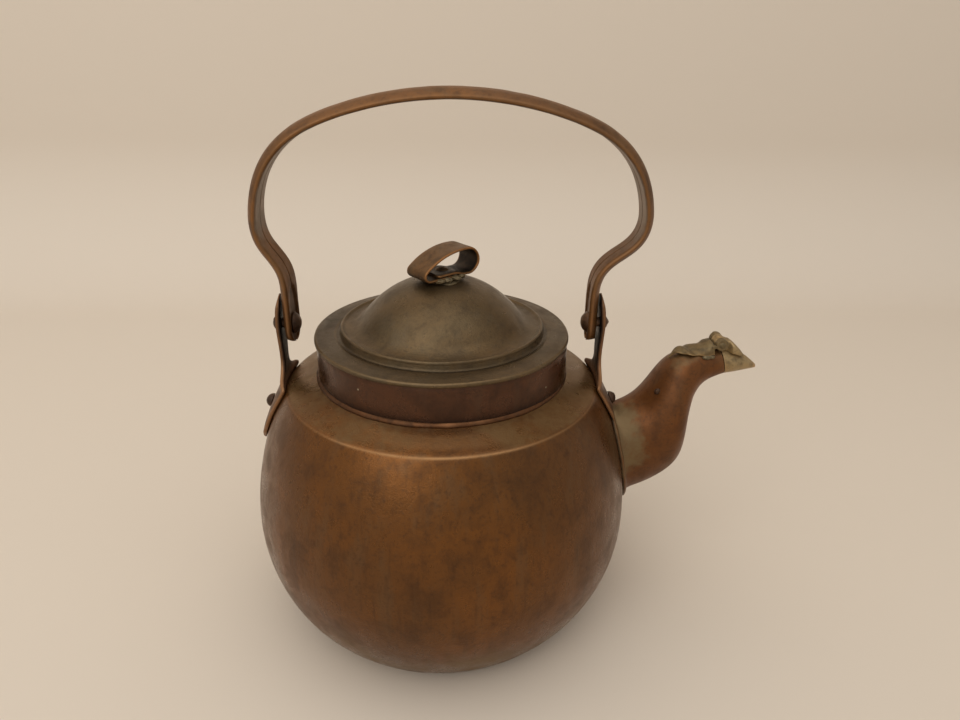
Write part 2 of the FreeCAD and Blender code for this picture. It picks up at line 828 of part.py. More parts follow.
os.makedirs("parts", exist_ok=True)
for name, shape in nodes.items():
    shape.exportStep("parts/" + name + ".step")
    box = shape.BoundBox
    print(name, "valid", shape.isValid(), "solids", len(shape.Solids), "volume", round(shape.Volume, 1),
          "x", round(box.XMin, 1), round(box.XMax, 1), "y", round(box.YMin, 1), round(box.YMax, 1),
          "z", round(box.ZMin, 1), round(box.ZMax, 1))
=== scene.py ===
import bpy
import bmesh
import numpy as np
from mathutils import Matrix, Vector


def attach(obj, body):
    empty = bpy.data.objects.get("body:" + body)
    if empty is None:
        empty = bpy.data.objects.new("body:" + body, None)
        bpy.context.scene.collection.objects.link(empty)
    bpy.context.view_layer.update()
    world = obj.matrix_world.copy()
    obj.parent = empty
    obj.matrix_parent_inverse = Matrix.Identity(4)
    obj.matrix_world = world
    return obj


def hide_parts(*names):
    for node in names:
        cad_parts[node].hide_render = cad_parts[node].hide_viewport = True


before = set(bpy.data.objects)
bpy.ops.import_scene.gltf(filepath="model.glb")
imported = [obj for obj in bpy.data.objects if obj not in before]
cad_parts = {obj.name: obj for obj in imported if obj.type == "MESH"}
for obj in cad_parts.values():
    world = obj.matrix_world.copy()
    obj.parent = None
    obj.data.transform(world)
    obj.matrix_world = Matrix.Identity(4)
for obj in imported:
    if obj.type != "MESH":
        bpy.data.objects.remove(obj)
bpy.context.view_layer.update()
scene = bpy.context.scene
scene.view_settings.view_transform = "Standard"
print("stage 1: frame loaded,", len(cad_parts), "nodes")

# all shapes below are worked out in millimetres, +X to the spout, +Z up
mm = 0.001
weld = 2e-6  # metres within which two points are one
tau = 2 * np.pi
join = np.concatenate


# shared tools

def ringTurns(count):
    return np.linspace(0, tau, count, endpoint=False)


# shares from 0 to 1 as a column
def shares(count):
    return np.linspace(0, 1, count)[:, None]


def gridOf(x, y, z):
    return np.stack(np.broadcast_arrays(x, y, z), -1)


# points at a radius and a turn about the pot's axis: x = r cos a, y = r sin a
def polar(r, a, z):
    return gridOf(r * np.cos(a), r * np.sin(a), z)


def unit(v):
    return v / np.linalg.norm(v, axis=-1, keepdims=True)


# direction of a flat vector, in degrees from its first axis
def heading(v):
    return np.degrees(np.arctan2(v[1], v[0]))


# radius of the arc that is high in its middle, over half a chord
def arcR(high, halfChord):
    return (high ** 2 + halfChord ** 2) / (2 * high)


# soft step from 0 at a to 1 at b, falling where b is the lower
def ease(x, a, b):
    t = np.clip((x - a) / (b - a), 0, 1)
    return t * t * (3 - 2 * t)


# smooth hill of height 1 about a middle
def hill(x, mid, wide):
    return np.exp(-((x - mid) / wide) ** 2)


# a cosine or sine made squarer: its sign kept, its size raised to a power under 1
def blunt(wave, power):
    return np.sign(wave) * np.abs(wave) ** power


# the two coordinates round a strip's squared section, -1 to 1
def stripRing(count, acrossPower, thickPower):
    t = ringTurns(count)
    return blunt(np.cos(t), acrossPower), blunt(np.sin(t), thickPower)


# quads of a grid of points, closed round along either way where asked
def sheetFaces(rows, cols, wrapU, wrapV, first=0):
    i = np.arange(rows if wrapU else rows - 1)[:, None]
    j = np.arange(cols if wrapV else cols - 1)[None, :]
    i2, j2 = (i + 1) % rows, (j + 1) % cols
    quads = np.stack([i * cols + j, i2 * cols + j, i2 * cols + j2, i * cols + j2], -1)
    return quads.reshape(-1, 4) + first


# one piece from grids that close round along their second way, and along both for a hoop: doubles are merged,
# faces turned outwards, edges sharp past an angle; marks hold worn places, painted highlights and painted
# shade, and films hold the grey film and the painted reflection, grid by grid
def makePiece(name, grids, body, material, replaced, sharp=50, marks=(), filmsAndReflections=(), hoop=False):
    firsts = np.cumsum([0] + [grid[..., 0].size for grid in grids])
    faces = [sheetFaces(*grid.shape[:2], hoop, True, first) for grid, first in zip(grids, firsts)]
    mesh = bpy.data.meshes.new(name)
    mesh.from_pydata(join([grid.reshape(-1, 3) for grid in grids]) * mm, [], join(faces))
    for label, given in (("wearAndPaintedLight", marks), ("filmAndReflection", filmsAndReflections)):
        given = list(given) + [0.0] * (len(grids) - len(given))
        values = [(value + 0 * grid[..., 0]).reshape(-1) for value, grid in zip(given, grids)]
        layer = mesh.attributes.new(label, "FLOAT", "POINT")
        layer.data.foreach_set("value", join(values).astype(np.float32))
    work = bmesh.new()
    work.from_mesh(mesh)
    bmesh.ops.remove_doubles(work, verts=work.verts, dist=weld)
    bmesh.ops.dissolve_degenerate(work, edges=work.edges, dist=weld / 2)
    bmesh.ops.recalc_face_normals(work, faces=work.faces)
    work.to_mesh(mesh)
    work.free()
    mesh.polygons.foreach_set("use_smooth", np.ones(len(mesh.polygons), bool))
    mesh.set_sharp_from_angle(angle=np.radians(sharp))
    piece = bpy.data.objects.new(name, mesh)
    scene.collection.objects.link(piece)
    mesh.materials.append(material)
    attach(piece, body)
    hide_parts(*replaced)
    return piece


# a tube and the two fans that close its ends
def capped(grid):
    return [grid] + [join([end, end.mean(1, keepdims=True).repeat(grid.shape[1], 1)])
                     for end in (grid[:1], grid[-1:])]


# soft unevenness of handwork: the mean of sine waves in seeded directions, about -1 to 1
def uneven(points, size, seed, waves=10):
    rng = np.random.default_rng(seed)
    ways = unit(rng.normal(size=(waves, 3)))
    ways *= tau / size * rng.uniform(0.6, 1.7, (waves, 1))
    return np.sin(points @ ways.T + rng.uniform(0, tau, waves)).mean(-1) * 1.6


# points of an arc about (cx, cz), angles in degrees from +X towards +Z
def arcRun(cx, cz, r, start, end, count):
    a = np.radians(np.linspace(start, end, count))
    return np.stack([cx + r * np.cos(a), cz + r * np.sin(a)], -1)


# a run of corners, each rounded with a quadratic curve that starts soft[i] before the corner
def softRun(corners, soft, count=9):
    corners = np.asarray(corners, float)
    t = shares(count)
    out = [corners[:1]]
    for a, c, b, s in zip(corners, corners[1:], corners[2:], soft):
        p, q = c + unit(a - c) * s, c + unit(b - c) * s
        out.append(p * (1 - t) ** 2 + c * 2 * t * (1 - t) + q * t ** 2)
    return join(out + [corners[-1:]])


# the same line with points an even step apart
def evenRun(line, step):
    along = join([[0], np.cumsum(np.linalg.norm(np.diff(line, axis=0), axis=1))])
    keep = join([[True], np.diff(along) > 1e-9])
    want = np.linspace(0, along[-1], max(2, int(round(along[-1] / step)) + 1))
    return np.stack([np.interp(want, along[keep], line[keep, k]) for k in range(line.shape[1])], -1)


# profile (r, z) turned round the pot's axis
def lathe(profile, count):
    return polar(profile[:, :1], ringTurns(count), profile[:, 1:])


# smooth line through a few points: natural cubic spline over the chord length, share 0 to 1
def smoothLine(points):
    p = np.asarray(points, float)
    u = join([[0], np.cumsum(np.linalg.norm(np.diff(p, axis=0), axis=1))])
    u /= u[-1]
    h, n = np.diff(u), len(p)
    left, right = np.eye(n), np.zeros_like(p)
    k = np.arange(1, n - 1)
    left[k, k - 1], left[k, k], left[k, k + 1] = h[:-1], 2 * (h[:-1] + h[1:]), h[1:]
    right[1:-1] = 6 * (np.diff(p[1:], axis=0) / h[1:, None] - np.diff(p[:-1], axis=0) / h[:-1, None])
    m = np.linalg.solve(left, right)

    def at(share):
        s = np.clip(np.asarray(share, float), 0, 1)
        i = np.clip(np.searchsorted(u, s, side="right") - 1, 0, n - 2)
        a, b = (u[i + 1] - s)[..., None], (s - u[i])[..., None]
        w = h[i][..., None]
        return ((m[i] * a ** 3 + m[i + 1] * b ** 3) / (6 * w)
                + (p[i] / w - m[i] * w / 6) * a + (p[i + 1] / w - m[i + 1] * w / 6) * b)

    return at


# surface normals of a grid that closes round along its second way
def gridNormals(grid):
    n = np.cross(np.gradient(grid, axis=0), np.roll(grid, -1, 1) - np.roll(grid, 1, 1))
    return n / np.maximum(np.linalg.norm(n, axis=-1, keepdims=True), 1e-9)


# finishes

# sRGB 0-255 to the linear colour that the shader takes
def rgb(r, g, b):
    c = np.array([r, g, b]) / 255
    return (*np.where(c <= 0.04045, c / 12.92, ((c + 0.055) / 1.055) ** 2.4).tolist(), 1.0)


# colours of a finish in the order of its tones: bright shows on worn places and painted highlights, deep on
# soot and painted shade
toneNames = ("main", "warm", "dark", "dull", "bright", "deep", "filmAndReflection", "speck")
# what a finish has unless it says otherwise: two colours, pattern scales, how much shows, relief and gloss
usualLook = {"filmAndReflection": (120, 97, 63), "speck": (176, 162, 138), "specks": 0, "broad": 24, "mottle": 110,
             "streak": (1.0, 1.0, 0.16), "darkShare": 0.7, "dullShare": 0.45, "fleck": 0.4, "hair": 0.3,
             "grain": 0.45, "fineBump": 0.25, "bump": 0.25, "relief": 0.0006, "metal": 0.8, "smooth": 0.34,
             "rough": 0.52}


# old copper: broad clouds, mottling, dark flecks and fine scratches; worn places and painted highlights show
# brighter metal, painted shade darker
def oldCopper(name, ownLook):
    look = {**usualLook, **ownLook}
    tint = {key: rgb(*tone) for key, tone in zip(toneNames, (*look["tones"], look["filmAndReflection"], look["speck"]))}
    mat = bpy.data.materials.new(name)
    mat.use_nodes = True
    nodes, links = mat.node_tree.nodes, mat.node_tree.links
    shader = nodes["Principled BSDF"]

    def put(node, inputs):
        for key, value in inputs.items():
            if isinstance(value, bpy.types.NodeSocket):
                links.new(value, node.inputs[key])
            else:
                node.inputs[key].default_value = value

    def make(kind, inputs={}, **settings):
        node = nodes.new("ShaderNode" + kind)
        for key, value in settings.items():
            setattr(node, key, value)
        put(node, inputs)
        return node.outputs

    def cloud(scale, detail, rough, stretch=None, twist=0.0):
        where = make("Mapping", {"Vector": place, "Scale": stretch})["Vector"] if stretch else place
        return make("TexNoise", {"Vector": where, "Scale": scale, "Detail": detail, "Roughness": rough,
                                 "Distortion": twist})["Fac"]

    def span(value, low, high, toLow=0.0, toHigh=1.0):
        ends = {"Value": value, "From Min": low, "From Max": high, "To Min": toLow, "To Max": toHigh}
        return make("MapRange", ends, interpolation_type="SMOOTHSTEP")["Result"]

    def over(base, colour, amount):
        return make("Mix", {6: base, 7: colour, 0: amount}, data_type="RGBA")[2]

    def times(a, b):
        return make("Math", {0: a, 1: b}, operation="MULTIPLY")[0]

    def plus(a, b):
        return make("Math", {0: a, 1: b}, operation="ADD")[0]

    place = make("TexCoord")["Object"]
    broad = cloud(look["broad"], 4, 0.55, twist=0.6)
    mottle = cloud(look["mottle"], 6, 0.62, twist=0.4)
    fleck = cloud(420, 4, 0.6)
    grain = cloud(950, 2, 0.5)
    fine = cloud(1900, 3, 0.6)
    hair = cloud(520, 3, 0.55, stretch=look["streak"])
    streak = cloud(160, 4, 0.6, stretch=look["streak"])
    tone = over(tint["main"], tint["warm"], span(broad, 0.42, 0.66))
    for colour, pattern, low, high, share in (
            ("dark", mottle, 0.47, 0.68, "darkShare"), ("dull", streak, 0.50, 0.72, "dullShare"),
            ("dark", fleck, 0.58, 0.76, "fleck"), ("dark", hair, 0.50, 0.74, "hair"),
            ("dark", grain, 0.52, 0.72, "grain"), ("dull", fine, 0.54, 0.74, "grain")):
        tone = over(tone, tint[colour], span(pattern, low, high, 0.0, look[share]))
    wearAndPaintedLight, filmAndReflection = (make("Attribute", attribute_name=label)["Fac"] for label in ("wearAndPaintedLight", "filmAndReflection"))
    # bright tone over worn places and painted highlights, deep tone over soot and painted shade
    tone = over(tone, tint["bright"], times(span(wearAndPaintedLight, 0.0, 1.0), span(mottle, 0.30, 0.62, 0.55, 1.0)))
    tone = over(tone, tint["deep"], times(span(wearAndPaintedLight, 0.0, -1.0), span(mottle, 0.25, 0.6, 0.7, 1.0)))
    patchy = plus(times(mottle, 0.5), times(fleck, 0.4))
    tone = over(tone, tint["filmAndReflection"], span(plus(filmAndReflection, patchy), 0.72, 1.12))
    if look["specks"]:
        spots = make("TexVoronoi", {"Vector": place, "Scale": look["specks"]})["Distance"]
        tone = over(tone, tint["speck"], span(spots, 0.016, 0.03, 0.85, 0.0))
    gloss = span(mottle, 0.34, 0.68, look["smooth"], look["rough"])
    height = plus(plus(times(mottle, 0.6), times(fine, look["fineBump"])), times(fleck, 0.35))
    bump = make("Bump", {"Height": height, "Strength": look["bump"], "Distance": look["relief"]})["Normal"]
    put(shader, {"Base Color": tone, "Metallic": look["metal"], "Normal": bump,
                 "Roughness": plus(gloss, span(streak, 0.35, 0.7, 0.0, 0.07))})
    return mat


bodyCopper = oldCopper("bodyCopper", {
    "tones": ((98, 62, 27), (112, 69, 26), (62, 39, 19), (98, 73, 47), (160, 120, 78), (42, 29, 20)),
    "filmAndReflection": (116, 88, 53), "broad": 22, "mottle": 95, "darkShare": 0.42, "grain": 0.32, "fleck": 0.32,
    "hair": 0.32, "fineBump": 0.5, "metal": 0.68, "smooth": 0.22, "rough": 0.4})
collarCopper = oldCopper("collarCopper", {
    "tones": ((80, 51, 33), (92, 57, 33), (54, 36, 25), (80, 61, 46), (140, 104, 76), (36, 25, 20)),
    "metal": 0.7, "smooth": 0.2, "rough": 0.36, "darkShare": 0.5, "specks": 75})
brazeMetal = oldCopper("brazeMetal", {
    "tones": ((96, 62, 36), (108, 68, 38), (64, 43, 28), (86, 64, 46), (168, 118, 78), (46, 31, 23)),
    "mottle": 260, "bump": 0.5})
lidCopper = oldCopper("lidCopper", {
    "tones": ((92, 76, 52), (101, 80, 52), (64, 51, 35), (90, 78, 60), (142, 116, 82), (36, 29, 22)),
    "broad": 30, "mottle": 120, "streak": (1.0, 1.0, 0.4), "metal": 0.7, "smooth": 0.25, "rough": 0.4,
    "darkShare": 0.45, "fleck": 0.3, "grain": 0.35, "fineBump": 0.7, "bump": 0.32, "specks": 70})
loopCopper = oldCopper("loopCopper", {
    "tones": ((108, 80, 50), (116, 80, 44), (74, 55, 37), (104, 86, 62), (152, 104, 58), (38, 30, 23)),
    "mottle": 200, "metal": 0.65})
bailCopper = oldCopper("bailCopper", {
    "tones": ((106, 70, 36), (120, 78, 37), (76, 51, 30), (108, 84, 58), (158, 116, 76), (36, 27, 21)),
    "filmAndReflection": (128, 112, 96), "mottle": 140, "metal": 0.65, "smooth": 0.38})
earCopper = oldCopper("earCopper", {
    "tones": ((98, 66, 40), (112, 74, 43), (58, 41, 30), (84, 68, 53), (156, 114, 76), (32, 25, 20)),
    "mottle": 160, "bump": 0.35, "metal": 0.65})
rivetCopper = oldCopper("rivetCopper", {
    "tones": ((76, 54, 39), (94, 66, 44), (48, 36, 28), (78, 64, 52), (136, 106, 78), (28, 22, 18)),
    "mottle": 300, "bump": 0.5, "metal": 0.65})
spoutCopper = oldCopper("spoutCopper", {
    "tones": ((102, 61, 25), (114, 67, 26), (72, 44, 22), (92, 66, 40), (160, 114, 72), (38, 28, 21)),
    "filmAndReflection": (114, 93, 62), "broad": 40, "mottle": 140, "darkShare": 0.45, "metal": 0.6, "smooth": 0.36})
leafCopper = oldCopper("leafCopper", {
    "tones": ((112, 95, 63), (116, 93, 58), (70, 58, 40), (112, 99, 73), (158, 128, 86), (36, 29, 23)),
    "broad": 60, "mottle": 220, "metal": 0.55, "bump": 0.4})
# a lighter copy of the leaf's copper: painted light on the flap's lit side
flapPaintedLitCopper = oldCopper("flapPaintedLitCopper", {
    "tones": ((160, 136, 96), (164, 134, 88), (100, 83, 58), (150, 134, 102), (184, 148, 104), (36, 29, 23)),
    "broad": 60, "mottle": 220, "metal": 0.55, "bump": 0.4})
greySolder = oldCopper("greySolder", {
    "tones": ((110, 97, 72), (118, 98, 68), (74, 64, 47), (122, 110, 86), (150, 138, 112), (46, 40, 33)),
    "mottle": 240, "bump": 0.6, "rough": 0.6, "metal": 0.6})
tinLining = oldCopper("tinLining", {
    "tones": ((142, 137, 128), (132, 120, 104), (98, 92, 84), (152, 148, 140), (172, 168, 160), (58, 53, 48)),
    "mottle": 90, "rough": 0.6})
print("stage 2: finishes made")


# pot body

pot = {"baseR": 50.6, "baseRound": 4.0, "baseLift": 0.5, "bellyR": 68.0, "bellyZ": 41.0, "creaseR": 54.7,
       "creaseZ": 90.0, "creaseSoft": 1.1, "rise": 4.4, "hollow": 0.25, "collarR": 43.0, "collarWall": 1.0,
       "wall": 1.2, "lipZ": 99.4, "dents": 0.16, "hammer": 0.035, "holeR": 9.0, "holeZ": 59.0, "columns": 272,
       "outerStep": 0.75, "innerStep": 1.2, "creaseHighlight": 0.85, "shoulderHighlight": 0.33, "neckShade": 0.4,
       "baseDarkening": 0.35, "lowGreying": 0.5, "shoulderGreying": 0.5, "cloudStain": 0.14}
front = 1.5 * np.pi  # turn about the axis at which a ring faces -Y
lowSweep = arcR(pot["bellyR"] - pot["baseR"], pot["bellyZ"])
highSweep = arcR(pot["bellyR"] - pot["creaseR"], pot["creaseZ"] - pot["bellyZ"])
lowX, highX = pot["bellyR"] - lowSweep, pot["bellyR"] - highSweep
slopeUp = pot["rise"] / (pot["creaseR"] - pot["collarR"])


# outside radius of the belly at a height, moved out by off: two arcs that meet upright at the widest ring
def bellyR(z, off=0.0):
    dz = np.asarray(z, float) - pot["bellyZ"]
    low = lowX + np.sqrt(np.maximum((lowSweep + off) ** 2 - dz ** 2, 0))
    high = highX + np.sqrt(np.maximum((highSweep + off) ** 2 - dz ** 2, 0))
    return np.where(dz < 0, low, high)


# outline of the shell, offset inwards: base, base edge, belly, crease, shoulder and neck lip
def shellLine(off, edge):
    edgeZ = off + edge
    foot = lowX + np.sqrt((lowSweep - edgeZ) ** 2 - (edgeZ - pot["bellyZ"]) ** 2)
    turn = heading((foot - lowX, edgeZ - pot["bellyZ"]))
    base = np.stack([np.linspace(0, foot, 40), np.full(40, off)], -1)
    lift = pot["baseLift"] * (1 - off / pot["wall"])  # the middle of the base stands a little up
    base[:, 1] += lift * ease(base[:, 0], 44, 18)
    rounding = arcRun(foot, edgeZ, edge, -90, turn, 12)
    low = arcRun(lowX, pot["bellyZ"], lowSweep - off, turn, 0, 60)
    z = np.linspace(pot["bellyZ"], pot["creaseZ"] - off * 0.4, 72)
    high = np.stack([bellyR(z, -off), z], -1)
    neck = pot["collarR"] - pot["collarWall"] - off
    neckZ = pot["creaseZ"] + (pot["creaseR"] - neck) * slopeUp - off * np.hypot(1, slopeUp)
    crease = softRun([high[-8], high[-1], [neck, neckZ]], [pot["creaseSoft"]], 13)[1:-1]
    shoulder = crease[-1] + ([neck, neckZ] - crease[-1]) * shares(24)
    shoulder[:, 1] -= pot["hollow"] * np.sin(np.linspace(0, np.pi, 24))
    lip = np.stack([np.full(8, neck), np.linspace(neckZ, pot["lipZ"], 8)], -1)
    belly = high[high[:, 1] < crease[0, 1]]
    return join([base, rounding[1:], low[1:], belly[1:], crease, shoulder[1:], lip[1:]])


# the shell's line turned round, uneven as raised sheet is, but not at the base, the crease and the neck
def raisedSheet(line):
    grid = lathe(line, pot["columns"])
    z, r = grid[..., 2], np.hypot(grid[..., 0], grid[..., 1])
    fade = ease(z, 2, 14) * (1 - 0.75 * ease(z, 84, 90)) * ease(z, 94, 91)
    push = pot["dents"] * uneven(grid, 46, 4) + pot["hammer"] * uneven(grid, 11, 9, 24)
    grid[..., :2] *= (1 + fade * push / np.maximum(r, 1))[..., None]
    return grid


def buildPot():
    outside = evenRun(shellLine(0.0, pot["baseRound"]), pot["outerStep"])
    inside = evenRun(shellLine(pot["wall"], pot["baseRound"] - pot["wall"]), pot["innerStep"])
    outer, inner = raisedSheet(outside), raisedSheet(inside[::-1])
    r, z = outside[:, :1], outside[:, 1:]
    facing = hill(ringTurns(pot["columns"]), front, 0.75)
    frontLit = 0.4 + 0.6 * facing
    # painted highlight along the crease, strongest where it faces the front
    wearAndPaintedLight = pot["creaseHighlight"] * hill(z, pot["creaseZ"] - 0.1, 0.3) * (r > 50) * frontLit
    # painted highlight on the front of the shoulder
    wearAndPaintedLight = wearAndPaintedLight + pot["shoulderHighlight"] * ease(z, 90.6, 91.4) * ease(z, 93.8, 92.6) * (r > 44) * facing
    # painted shade on the shoulder where it meets the collar; darker towards the base
    wearAndPaintedLight = wearAndPaintedLight - pot["neckShade"] * hill(r, 45.0, 1.1) * (z > 91) - pot["baseDarkening"] * ease(z, 9, 0) * (r > 20)
    # greyed towards the base, and on the shoulder away from the front
    height = outer[..., 2]
    greying = pot["lowGreying"] * ease(height, 42, 12) + pot["cloudStain"] * uneven(outer, 34, 12)
    greying = greying + pot["shoulderGreying"] * ease(height, 89.6, 90.6) * (1.62 - frontLit)
    return makePiece("potBody", [outer, join([outer[-1:], inner])], "pot", bodyCopper,
                     ["pot_base", "pot_belly", "pot_shoulder"], marks=[wearAndPaintedLight], filmsAndReflections=[greying])


# pour hole behind the spout: faces in its circle go, both rims are drawn to it and joined through the wall
def cutPourHole(piece):
    work = bmesh.new()
    work.from_mesh(piece.data)
    radius, height = pot["holeR"] * mm, pot["holeZ"] * mm
    inside = [f for f in work.faces if f.calc_center_median().x > 0
              and np.hypot(f.calc_center_median().y, f.calc_center_median().z - height) < radius]
    bmesh.ops.delete(work, geom=inside, context="FACES")
    rims = [e for e in work.edges if e.is_boundary]
    for v in {v for e in rims for v in e.verts}:
        pull = radius / np.hypot(v.co.y, v.co.z - height)
        v.co.y, v.co.z = v.co.y * pull, height + (v.co.z - height) * pull
    bmesh.ops.bridge_loops(work, edges=rims)
    work.to_mesh(piece.data)
    work.free()


# the inside is tinned: faces that look back at the middle of the belly take the lining
def tinInside(piece):
    faces = piece.data.polygons
    centres, normals = np.zeros(len(faces) * 3), np.zeros(len(faces) * 3)
    faces.foreach_get("center", centres)
    faces.foreach_get("normal", normals)
    fromMiddle = centres.reshape(-1, 3) - [0, 0, pot["bellyZ"] * mm]
    lined = np.einsum("ij,ij->i", fromMiddle, normals.reshape(-1, 3)) < 0
    piece.data.materials.append(tinLining)
    faces.foreach_set("material_index", lined.astype(np.int32))


potBody = buildPot()
cutPourHole(potBody)
tinInside(potBody)
print("stage 3: pot body,", len(potBody.data.polygons), "faces")


# neck collar and its braze

collar = {"footZ": 94.4, "topZ": 108.2, "rim": 0.3, "swell": 0.32, "swellTopZ": 106.0, "lapRise": 0.45,
          "lapEdge": -15.0, "lapStart": -24.0, "easeIn": -62.0, "footShade": 0.75, "lapHighlight": 0.8}


# band section carried round; the strip's outer end laps over the inner one, so the radius rises and drops
def buildCollar():
    a = np.sort(join([np.linspace(-180, 180, 360, endpoint=False),
                      collar["lapEdge"] + np.linspace(-0.4, 0.4, 9)]))
    rise = collar["lapRise"] * ease(a, collar["easeIn"], collar["lapStart"])
    rise = rise * ease(a, collar["lapEdge"] + 0.15, collar["lapEdge"] - 0.15)
    rOut, rIn, topZ, rim = pot["collarR"], pot["collarR"] - pot["collarWall"], collar["topZ"], collar["rim"]
    side = np.linspace(collar["footZ"] + 0.2, topZ - rim, 22)
    section = join([np.stack([np.full_like(side, rOut), side], -1), [[rOut - rim, topZ], [rIn + rim, topZ]],
                    np.stack([np.full_like(side, rIn), side[::-1]], -1)])
    z = section[:, 1:]
    isOut = (section[:, :1] > rIn + 0.4).astype(float)
    swollen = isOut * ease(z, collar["swellTopZ"] + 0.9, collar["swellTopZ"])  # ends under the lid's edge
    r = section[:, :1] + swollen * (collar["swell"] + rise)
    grid = polar(r, np.radians(a), z)
    push = isOut * (0.10 * uneven(grid, 26, 31) + 0.03 * uneven(grid, 8, 32, 20)) - 0.05
    grid[..., :2] *= (1 + push / r)[..., None]
    # painted highlight along the lap's edge; painted shade at the collar's foot
    wearAndPaintedLight = collar["lapHighlight"] * hill(a, collar["lapEdge"] - 0.3, 0.5) * isOut
    wearAndPaintedLight = wearAndPaintedLight - collar["footShade"] * ease(z, collar["footZ"] + 4.2, collar["footZ"])
    makePiece("neckCollar", [grid], "pot", collarCopper, ["neck_collar"], marks=[wearAndPaintedLight],
              hoop=True)


braze = {"halfWide": 0.819, "halfHigh": 0.756, "out": 0.25, "up": 0.25, "lumps": 0.22, "swell": 0.12}


# bead section round the collar's foot, swelling and thinning as it was run in
def buildBraze():
    a, t = ringTurns(420), ringTurns(18)[:, None]
    ring = polar(pot["collarR"], a, 0.0)
    swell = 1 + braze["lumps"] * uneven(ring, 9, 51, 16) + braze["swell"] * uneven(ring, 30, 52)
    out = braze["out"] + braze["halfWide"] * np.cos(t) * swell
    z = collar["footZ"] + braze["up"] + braze["halfHigh"] * np.sin(t) * swell - out * slopeUp
    grid = polar(pot["collarR"] + out, a, z)
    # painted light: the bead's top lighter than its underside, a painted highlight at the front and painted
    # shade round the rest
    wearAndPaintedLight = np.sin(t) * 0.25 - 0.5 + (0.5 + 0.6 * uneven(ring, 9, 55, 16)) * hill(a, front, 0.6)
    makePiece("collarBraze", [grid], "pot", brazeMetal, ["collar_braze"], sharp=80, marks=[wearAndPaintedLight],
              hoop=True)


buildCollar()
buildBraze()
print("stage 4: collar and braze")


# lid

lid = {"seatZ": 108.2, "thick": 0.7, "edgeR": 43.85, "drop": 1.0, "domeR": 33.5, "domeH": 16.6, "crown": 34.0,
       "stepH": 2.0, "beadR": 0.62, "rollR": 0.7, "uneven": 0.12, "warp": 0.16, "columns": 288, "step": 0.42,
       "edgeHighlight": 0.4, "beadHighlight": 0.35, "grooveShade": 0.6, "crownShade": 0.45, "ringDarkening": 0.28,
       "rearShade": 0.25}
ringZ = lid["seatZ"] + lid["thick"]
domeZ = ringZ + lid["stepH"]
crownZ = domeZ + lid["domeH"]
flare = arcR(lid["domeH"], lid["domeR"]) - lid["crown"]
flareZ, crownMid = domeZ + flare, crownZ - lid["crown"]
flareTurn = heading((lid["domeR"], flareZ - crownMid))


# crown arc and flare arc from the top to the dome's foot, moved in by off
def domeLine(off):
    crown = arcRun(0, crownMid, lid["crown"] - off, 90, flareTurn, 70)
    sweep = arcRun(lid["domeR"], flareZ, flare + off, 180 + flareTurn, 270, 26)
    return join([crown, sweep[1:]])


# whole lid section: dome, bead and groove at its foot, flat ring, rolled edge and underside
def buildLid():
    foot, edgeR, seat = lid["domeR"], lid["edgeR"], lid["seatZ"]
    low = seat - lid["drop"]
    bead = arcRun(foot + 0.75, domeZ + 0.05, lid["beadR"], 165, -25, 14)
    groove = softRun([bead[-1], [foot + 1.75, ringZ - 0.18], [foot + 2.9, ringZ - 0.2],
                      [foot + 3.5, ringZ + 0.12]], [0.5, 0.4])
    ringR = np.linspace(foot + 3.7, edgeR - 0.9, 16)
    flatRing = np.stack([ringR, ringZ + 0.02 - 0.3 * ease(ringR, edgeR - 4.0, edgeR - 0.4)], -1)
    edge = arcRun(edgeR - lid["rollR"], seat - 0.25, lid["rollR"], 84, 0, 14)
    under = np.array([[edgeR, low + 0.25], [edgeR - 0.2, low], [edgeR - 0.55, low],
                      [edgeR - 0.68, seat - 0.7], [edgeR - lid["rollR"], seat], [foot + 1.6, seat]])
    section = evenRun(join([domeLine(0.0), bead, groove, flatRing, edge, under,
                            domeLine(lid["thick"])[::-1]]), lid["step"])
    grid = lathe(section, lid["columns"])
    r, z = section[:, :1], section[:, 1:]
    lift = lid["uneven"] * uneven(grid, 30, 61) * ease(r, 4, 20)
    lift = lift + lid["warp"] * uneven(grid, 52, 62) * ease(r, 36, 43)
    grid[..., 2] += lift * (1 - 0.6 * ease(r, 20, 30) * ease(r, 38, 33))
    # painted highlights on the rolled edge and on the bead at the dome's foot
    wearAndPaintedLight = lid["edgeHighlight"] * hill(r, edgeR - 0.3, 0.4) * (z > seat)
    wearAndPaintedLight = wearAndPaintedLight + lid["beadHighlight"] * hill(r, foot + 0.8, 0.35)
    # painted shade in the groove at the dome's foot and on the crown
    wearAndPaintedLight = wearAndPaintedLight - lid["grooveShade"] * hill(r, foot + 2.3, 0.7) - lid["crownShade"] * ease(r, 17, 4) * (z > 120)
    # the flat ring darker all round, with painted shade towards the rear
    ringDarkeningAndShade = lid["ringDarkening"] + lid["rearShade"] * hill(ringTurns(lid["columns"]), np.pi, 0.8)
    wearAndPaintedLight = wearAndPaintedLight - ringDarkeningAndShade * ease(r, foot + 3.0, foot + 4.0) * (r < edgeR - 0.8)
    makePiece("lidDome", [grid], "lid", lidCopper, ["lid_dome"], sharp=60, marks=[wearAndPaintedLight])


buildLid()
print("stage 5: lid")


# lid loop

loop = {"wide": 10.5, "thick": 1.0, "turn": 38.0, "seatZ": crownZ + 0.5, "frontX": -8.55, "frontR": 2.3,
        "backX": 7.7, "backR": 4.8, "archR": 26.0, "lowerEndX": 2.0, "upperEndX": -5.2, "dip": 0.10,
        "wander": 0.16, "edgeHighlight": 0.9, "insideShade": 0.85, "footShade": 0.5}


# a place on the lid turned with the loop
def loopTurned(x, y):
    a = np.radians(loop["turn"])
    return x * np.cos(a) - y * np.sin(a), x * np.sin(a) + y * np.cos(a)


